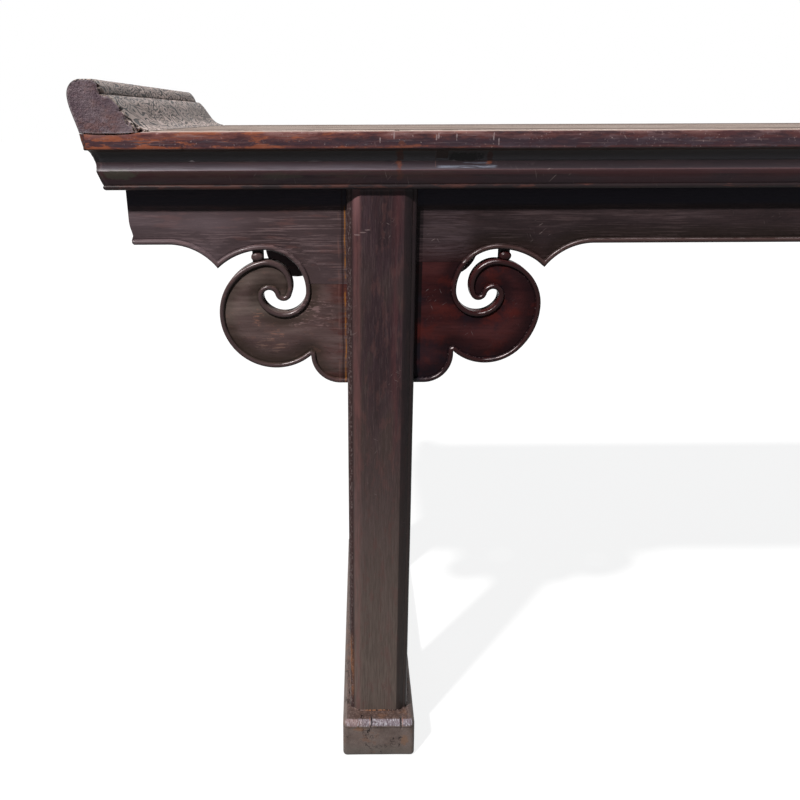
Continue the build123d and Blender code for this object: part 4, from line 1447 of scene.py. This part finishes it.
def makeFootLacquer():
    # scuffed and rubbed pale on its upper edges, dark on top where the leg keeps the dirt
    m = startFinish("footLacquer", footLacquer)
    x, y, z = axes(m.place)
    flat = above(z, 0.0646, 0.0655)
    lay(m, flat, "#402f2b", 0.8)
    speckle = mottle(m.place, (340, 340, 340), 0.46, 0.62, 3, 0.7)
    lay(m, flat * speckle, "#6b5650", 0.5)
    lay(m, speckle, "#7a6c68", 0.18)
    lay(m, below(z, 0.004, 0.03), "#55524e", 0.6)
    lay(m, mottle(m.place, (55, 55, 75), 0.54, 0.66, 5, 0.7), "#71513f", 0.42)
    spot(m, "#7d583f", (-876, -281, 52), (12, 10, 5.5), 0.5, 1.5)
    spot(m, "#7d5b44", (-808, -281, 31), (7, 10, 11), 0.5, 1.5)
    lay(m, within(z, 0.0535, 0.0552, 0.0005), "#1d1615", 0.5)

    # the upper corner at each end, chafed to a pale lilac grey with flecks across it, and partly a painted
    # highlight where the rounded edge catches the lamp
    corner = abs(y) + z + fuzz(m.grain, (200, 260, 200), 4, 0.7) * 0.005
    corner = above(corner, 0.3398, 0.3412) * (1 - flat) * above(z, 0.0545, 0.0565)
    lay(m, corner, "#7b7079", 0.85)
    lay(m, corner * mottle(m.grain, (130, 900, 130), 0.5, 0.64, 3, 0.65), "#c9c8cf", 0.75)
    lay(m, corner * mottle(m.grain, (170, 520, 170), 0.5, 0.58, 5, 0.75), "#54444a", 0.85)
    lay(m, corner * above(abs(x), 0.862, 0.885) * m.cloud, "#86685f", 0.5)
    for across, code, share in footLacquer["splits"]:
        spot(m, code, (across, -276, 61), (1.4, 12, 7), share, 1.2)
    crackLines(m, (14, 60, 60), 1.2, 0.3, "#120e0e", 1.5)
    return endFinish(m)


def buildBaseRails(finish):
    f = foot
    half, length, height, corner = f["half"], f["length"], f["height"], f["reliefCorner"]
    inner = length - f["pad"]
    pads = (s * np.linspace(inner - corner, inner, 8) for s in (-1, 1))
    ys = np.unique(np.concatenate([graded(-length, length, 1.6, 8, 22), *pads]))
    xs = np.arange(-half, half + 0.1, f["meshStep"])
    zs = graded(0, height, 1.5, 4, 12)
    for sideName, side in sides:
        points, faces = gridBox(xs, ys, zs)
        level = np.clip((points[:, 2] - 24) / 34, 0, 1)
        radius = f["lowRounding"] + (f["rounding"] - f["lowRounding"]) * level
        points = roundOff(points, (-half, -length, 0), (half, length, height), radius)
        over = np.clip((abs(points[:, 1]) - (inner - corner)) / corner, 0, 1)
        lift = f["relief"] * np.sqrt(1 - over ** 2) * (abs(points[:, 1]) < inner)
        points[:, 2] += lift * (1 - points[:, 2] / height)
        seed = seedOf(sideName + "BaseRail")
        slow, quick = unevenness(points, 40, seed), unevenness(points, 7, seed + 3)
        x, y, z = abs(points.T)
        upperEdge = np.clip(1 - np.hypot(height - z - 2, length - y - 2) / 9, 0, 1)
        sideEdge = np.clip(1 - np.hypot(height - z - 2, half - x - 2) / 8, 0, 1)
        knocks = np.clip(quick - 0.5, 0, 1) * 2.4 * (upperEdge + 0.6 * sideEdge)
        worn = (0.5 * slow + knocks) * f["wear"] * 0.6
        way = points * (0.9, 0.97, 0.7) + (0, 0, 8) - points
        points += way / np.maximum(np.linalg.norm(way, axis=1), 1)[:, None] * worn[:, None]
        for across, deep in f["cracks"]:
            wander = (unevenness(points * (0, 0, 1), 6, across) - 0.5) * 5
            near = np.clip(1 - abs(points[:, 0] - across - wander) / 1.5, 0, 1)
            high = np.clip((points[:, 2] - f["crackAbove"]) / 6, 0, 1)
            atEnd = high * np.clip((abs(points[:, 1]) - f["crackFrom"]) / 10, 0, 1)
            points[:, 2] -= near * atEnd * deep * 1.4
            points[:, 1] -= np.sign(points[:, 1]) * near * atEnd * deep
        points[:, 2] = np.maximum(points[:, 2], 0)
        outer = np.clip(side * points[:, 0] / half, 0, 1) * (points[:, 1] / length + 1) / 2
        points[:, 0] += side * (carved["legX"] - f["taper"] * outer)
        makePiece(sideName + "_base_rail", points, faces, [finish], "Y", 40, 2.6)


sideFrame = {
    "stretcherTop": 734.0, "stretcherHeight": 44.0, "stretcherWidth": 34.0, "legBack": 198.0,
    "ringWidth": 46.0, "ringThickness": 16.0, "ringCorner": 40.0, "foot": 66.0, "bead": 2.0,
    "rows": (0.3, 0.9, 2, 3.1, 3.7, 4.2, 5.2, 7.5, 12), "play": 0.15,
}
plainWood = {
    **oldLacquer, "dark": "#3a2d2c", "light": "#4c3d3b", "patch": "#5d443d", "patchAmount": 0.3,
    "patchShare": 0.4, "worn": "#6f5750", "scuffs": 0.2, "roughness": 0.36, "gloss": 0.18,
}


def ringOutline(reach, halfSpan):
    # one mitred ring board as (outwards, along), and which points lie on the opening
    s = sideFrame
    r, inner, straight = s["ringCorner"], reach - s["ringWidth"], halfSpan - s["ringWidth"] - s["ringCorner"]
    turn = np.linspace(pi / 4, 0, 9)
    arc = columns(inner - r + r * np.cos(turn), straight + r * np.sin(turn))
    run = evenly([(inner, straight), (inner, -straight)], 9)
    opening = np.concatenate([arc, run[1:-1], arc[::-1] * (1, -1)])
    rest = evenly([opening[-1], (reach, -halfSpan), (reach, halfSpan), opening[0]], 12)[1:-1]
    outline = np.concatenate([opening, rest])
    return outline, np.arange(len(outline)) < len(opening), opening


def ringProfile(apart):
    # as carvedProfile, with a smaller bead and a shallow sweep behind it
    r = sideFrame["bead"]
    over = np.clip((apart - r) / r, -1, 1)
    bead = np.minimum(r * (1 - np.sqrt(1 - over ** 2)), 1.6)
    depth = np.where(apart < 2 * r, bead, 1.3 * np.exp(-(apart - 2 * r) / 2.2))
    return depth, np.exp(-((apart - r) / 1.5) ** 4), np.exp(-((apart - 4.2) / 0.9) ** 2)


def buildSideFrames(finish):
    s = sideFrame
    ringTop = s["stretcherTop"] - s["stretcherHeight"]
    middle, half = (ringTop + s["foot"]) / 2, (ringTop - s["foot"]) / 2
    w, d = s["stretcherWidth"] / 2, s["legBack"]
    boards = (("front", d, half, -1), ("rear", d, half, 1), ("top", half, d, 1), ("bottom", half, d, -1))
    for sideName, side in sides:
        x = side * carved["legX"]
        points, faces = easedBlock((x - w, -d, ringTop + 0.2), (x + w, d, s["stretcherTop"]), 2.5)
        points[:, 2] -= 0.3 * unevenness(points, 30, 4 * side)
        makePiece(sideName + "_side_stretcher", points, faces, [finish], "Y")
        for part, reach, span, way in boards:
            outline, shown, opening = ringOutline(reach, span)
            thickness = s["ringThickness"]
            points, faces, marks = carveBoard(
                outline, shown, [opening], ringProfile, s["rows"], thickness, bothFaces=True
            )
            across, along = x + points[:, 1] - thickness / 2, points[:, 2]
            out = way * (points[:, 0] - s["play"])
            upright = part in ("front", "rear")
            world = columns(across, out, middle + along) if upright else columns(across, along, middle + out)
            node, grainWay = f"{sideName}_ring_{part}", "Z" if upright else "Y"
            makePiece(node, world, faces, [finish], grainWay, 42, marks=marks)


panel = {
    "halfLength": 1093.0, "halfDepth": 187.5, "top": 900.0, "thickness": 26.0, "braces": 5,
    "spacing": 364.0, "braceWidth": 46.0, "braceHeight": 36.0, "play": 0.15, "worn": 0.5,
}
topWood = {
    **oldLacquer, "dark": "#8e817a", "light": "#ab9e97", "streak": "#6c5c54", "streakShare": 0.55,
    "patch": "#b3a79f", "patchAmount": 0.4, "patchShare": 0.4, "worn": "#a39689", "grime": "#3b302c",
    "scratch": "#c4bab2", "scuffs": 0.5, "roughness": 0.6, "gloss": 0.0, "crestCoat": 0.0, "bump": 0.8,
    "poreShare": 0.5,
}
undersideWood = {
    **oldLacquer, "dark": "#4a3d36", "light": "#5f5047", "streak": "#352a25", "patch": "#6d5c50",
    "worn": "#77665a", "roughness": 0.55, "gloss": 0.12, "bump": 0.8,
}


def makeTopWood():
    # the bare upper face: raised grain, water marks, drying cracks and rests of lacquer on the stiles
    m = startFinish("topWood", topWood)
    lay(m, mottle(m.grain, (7, 9, 9), 0.52, 0.66, 4, 0.65), "#6b5850", 0.45)
    x, y = axes(m.place)[:2]
    kept = within(abs(y), 0.188, 0.266, 0.012) * mottle(m.grain, (4, 26, 26), 0.34, 0.6, 7, 0.72)
    lay(m, kept * (0.55 + above(x, -1.05, -0.7) * 0.45), "#2c1b16", 0.92)
    crackLines(m, (3, 70, 70), 1.2, 0.55, "#221b18", 2.0)
    return endFinish(m)


def buildTopBoards(finish, underFinish):
    q = panel
    bottom = q["top"] - q["thickness"]
    for faceName, near, far in (("front", -q["halfDepth"], 0), ("rear", 0, q["halfDepth"])):
        node = faceName + "_top_board"
        low = (-q["halfLength"], near + q["play"], bottom)
        high = (q["halfLength"], far - q["play"], q["top"])
        steps = ((1.5, 14, 12), (0.8, 5, 4), (1, 9, 3))  # fine, coarse and margin in x, y and z
        points, faces = gridBox(*(graded(a, b, *step) for a, b, step in zip(low, high, steps)))
        points = roundOff(points, low, high, 0.9)
        sag = q["worn"] * unevenness(points * (0.25, 1, 1), 30, seedOf(camel(node)))
        points[:, 2] -= sag * (points[:, 2] > q["top"] - 10)
        makePiece(
            node, points, faces, [finish, underFinish], "X", reach=1.5,
            faceFinish=lambda f: int(f.normal.z < -0.3),
        )
    w, reach = q["braceWidth"] / 2, q["halfDepth"] + 0.5
    for i in range(q["braces"]):
        x = (i - (q["braces"] - 1) / 2) * q["spacing"]
        points, faces = easedBlock((x - w, -reach, bottom - q["braceHeight"]), (x + w, reach, bottom), 1.8)
        points[:, 2] += 0.4 * unevenness(points, 25, i) * (points[:, 2] < bottom - 5)
        makePiece(f"brace_{i + 1}", points, faces, [underFinish], "Y")


# lights, world and floor

lamps = {
    "key": {"way": (0.75, 1.0, -1.37), "strength": 4.9, "angle": 3.0, "colour": (1.0, 0.985, 0.96)},
    "rear": {"way": (-0.15, -1.0, -0.85), "strength": 1.6, "angle": 40.0, "colour": (0.97, 0.985, 1.0)},
    "right": {"way": (-1.0, 0.15, -0.5), "strength": 0.35, "angle": 40.0, "colour": (0.95, 0.98, 1.0)},
}
surround = {
    "fill": 0.078, "fillColour": (0.79, 0.9, 1.0), "floorBounce": 0.04, "shadowShare": 0.17,
    "floorReach": 30,
}


def makeLamps():
    for name, lamp in lamps.items():
        data = bpy.data.lights.new(name, "SUN")
        data.energy = lamp["strength"]
        data.angle = radians(lamp["angle"])
        data.color = lamp["colour"]
        aim = Vector(lamp["way"]).to_track_quat("-Z", "Y")
        addObject(name, data).rotation_euler = aim.to_euler()


def seenDirectly():
    # 1 for camera, glossy and transmission rays
    path = addNode("LightPath").outputs
    seen, glossy, through = (Field(path[f"Is {kind} Ray"]) for kind in ("Camera", "Glossy", "Transmission"))
    return calc("MAXIMUM", calc("MAXIMUM", seen, glossy), through)


def makeWorld():
    world = scene.world = bpy.data.worlds.new("world")
    world.use_nodes = True
    bench["tree"] = world.node_tree
    back = world.node_tree.nodes["Background"].inputs
    seen = seenDirectly()
    feed(back["Color"], mixColour(seen, surround["fillColour"], (1, 1, 1)))
    feed(back["Strength"], (1 - seen) * surround["fill"] + seen)


def makeFloor():
    reach, low, share = (surround[key] for key in ("floorReach", "floorBounce", "shadowShare"))
    mesh = bpy.data.meshes.new("floor")
    corners = [(x * reach, y * reach, 0) for x, y in ((-1, -1), (1, -1), (1, 1), (-1, 1))]
    mesh.from_pydata(corners, [], [range(4)])
    floor = addObject("floor", mesh)
    mat = bpy.data.materials.new("floor")
    mat.use_nodes = True
    bench["tree"] = mat.node_tree
    shader = mat.node_tree.nodes["Principled BSDF"].inputs
    seen = seenDirectly()
    feed(shader["Base Color"], mixColour(seen, (low,) * 3, (share,) * 3))
    shader["Roughness"].default_value = 1.0
    shader["Specular IOR Level"].default_value = 0.0
    shader["Emission Color"].default_value = (1, 1, 1, 1)
    feed(shader["Emission Strength"], seen * (1 - share))
    mesh.materials.append(mat)


makeCamera(camera)
makeLamps()
makeWorld()
makeFloor()
scene.view_settings.view_transform = "Standard"
print("camera, lamps and floor set")

edgeFinish, topFinish = makeEdgeLacquer(), makeTopWood()
flangeFinishes = [makeFlangeFace(), makeFlangeEnd()]
for front, side in zip(fronts, sides):
    buildStile(*front, [edgeFinish, topFinish])
    buildEndRail(*side, [edgeFinish, *flangeFinishes, topFinish])
print("top frame built")
satin, gloss, plainFinish = makeCarvedSatin(), makeCarvedGloss(), makeCarvedPlain()
buildAprons(plainFinish)
print("aprons built")
buildSpandrels({
    ("front", "outer"): [satin], ("front", "inner"): [gloss],
    ("rear", "outer"): [plainFinish], ("rear", "inner"): [plainFinish],
})
paintedShadeStub = endFinish(startFinish("stubPaintedShade", stubPaintedShade))
buildLinkBeads({"outer": [satin, paintedShadeStub], "inner": [gloss, paintedShadeStub]})
print("spandrels built")
buildLegs(makeLegLacquer())
buildBaseRails(makeFootLacquer())
buildSideFrames(endFinish(startFinish("plainWood", plainWood)))
print("trestles built")
buildTopBoards(topFinish, endFinish(startFinish("undersideWood", undersideWood)))
print("top boards built")
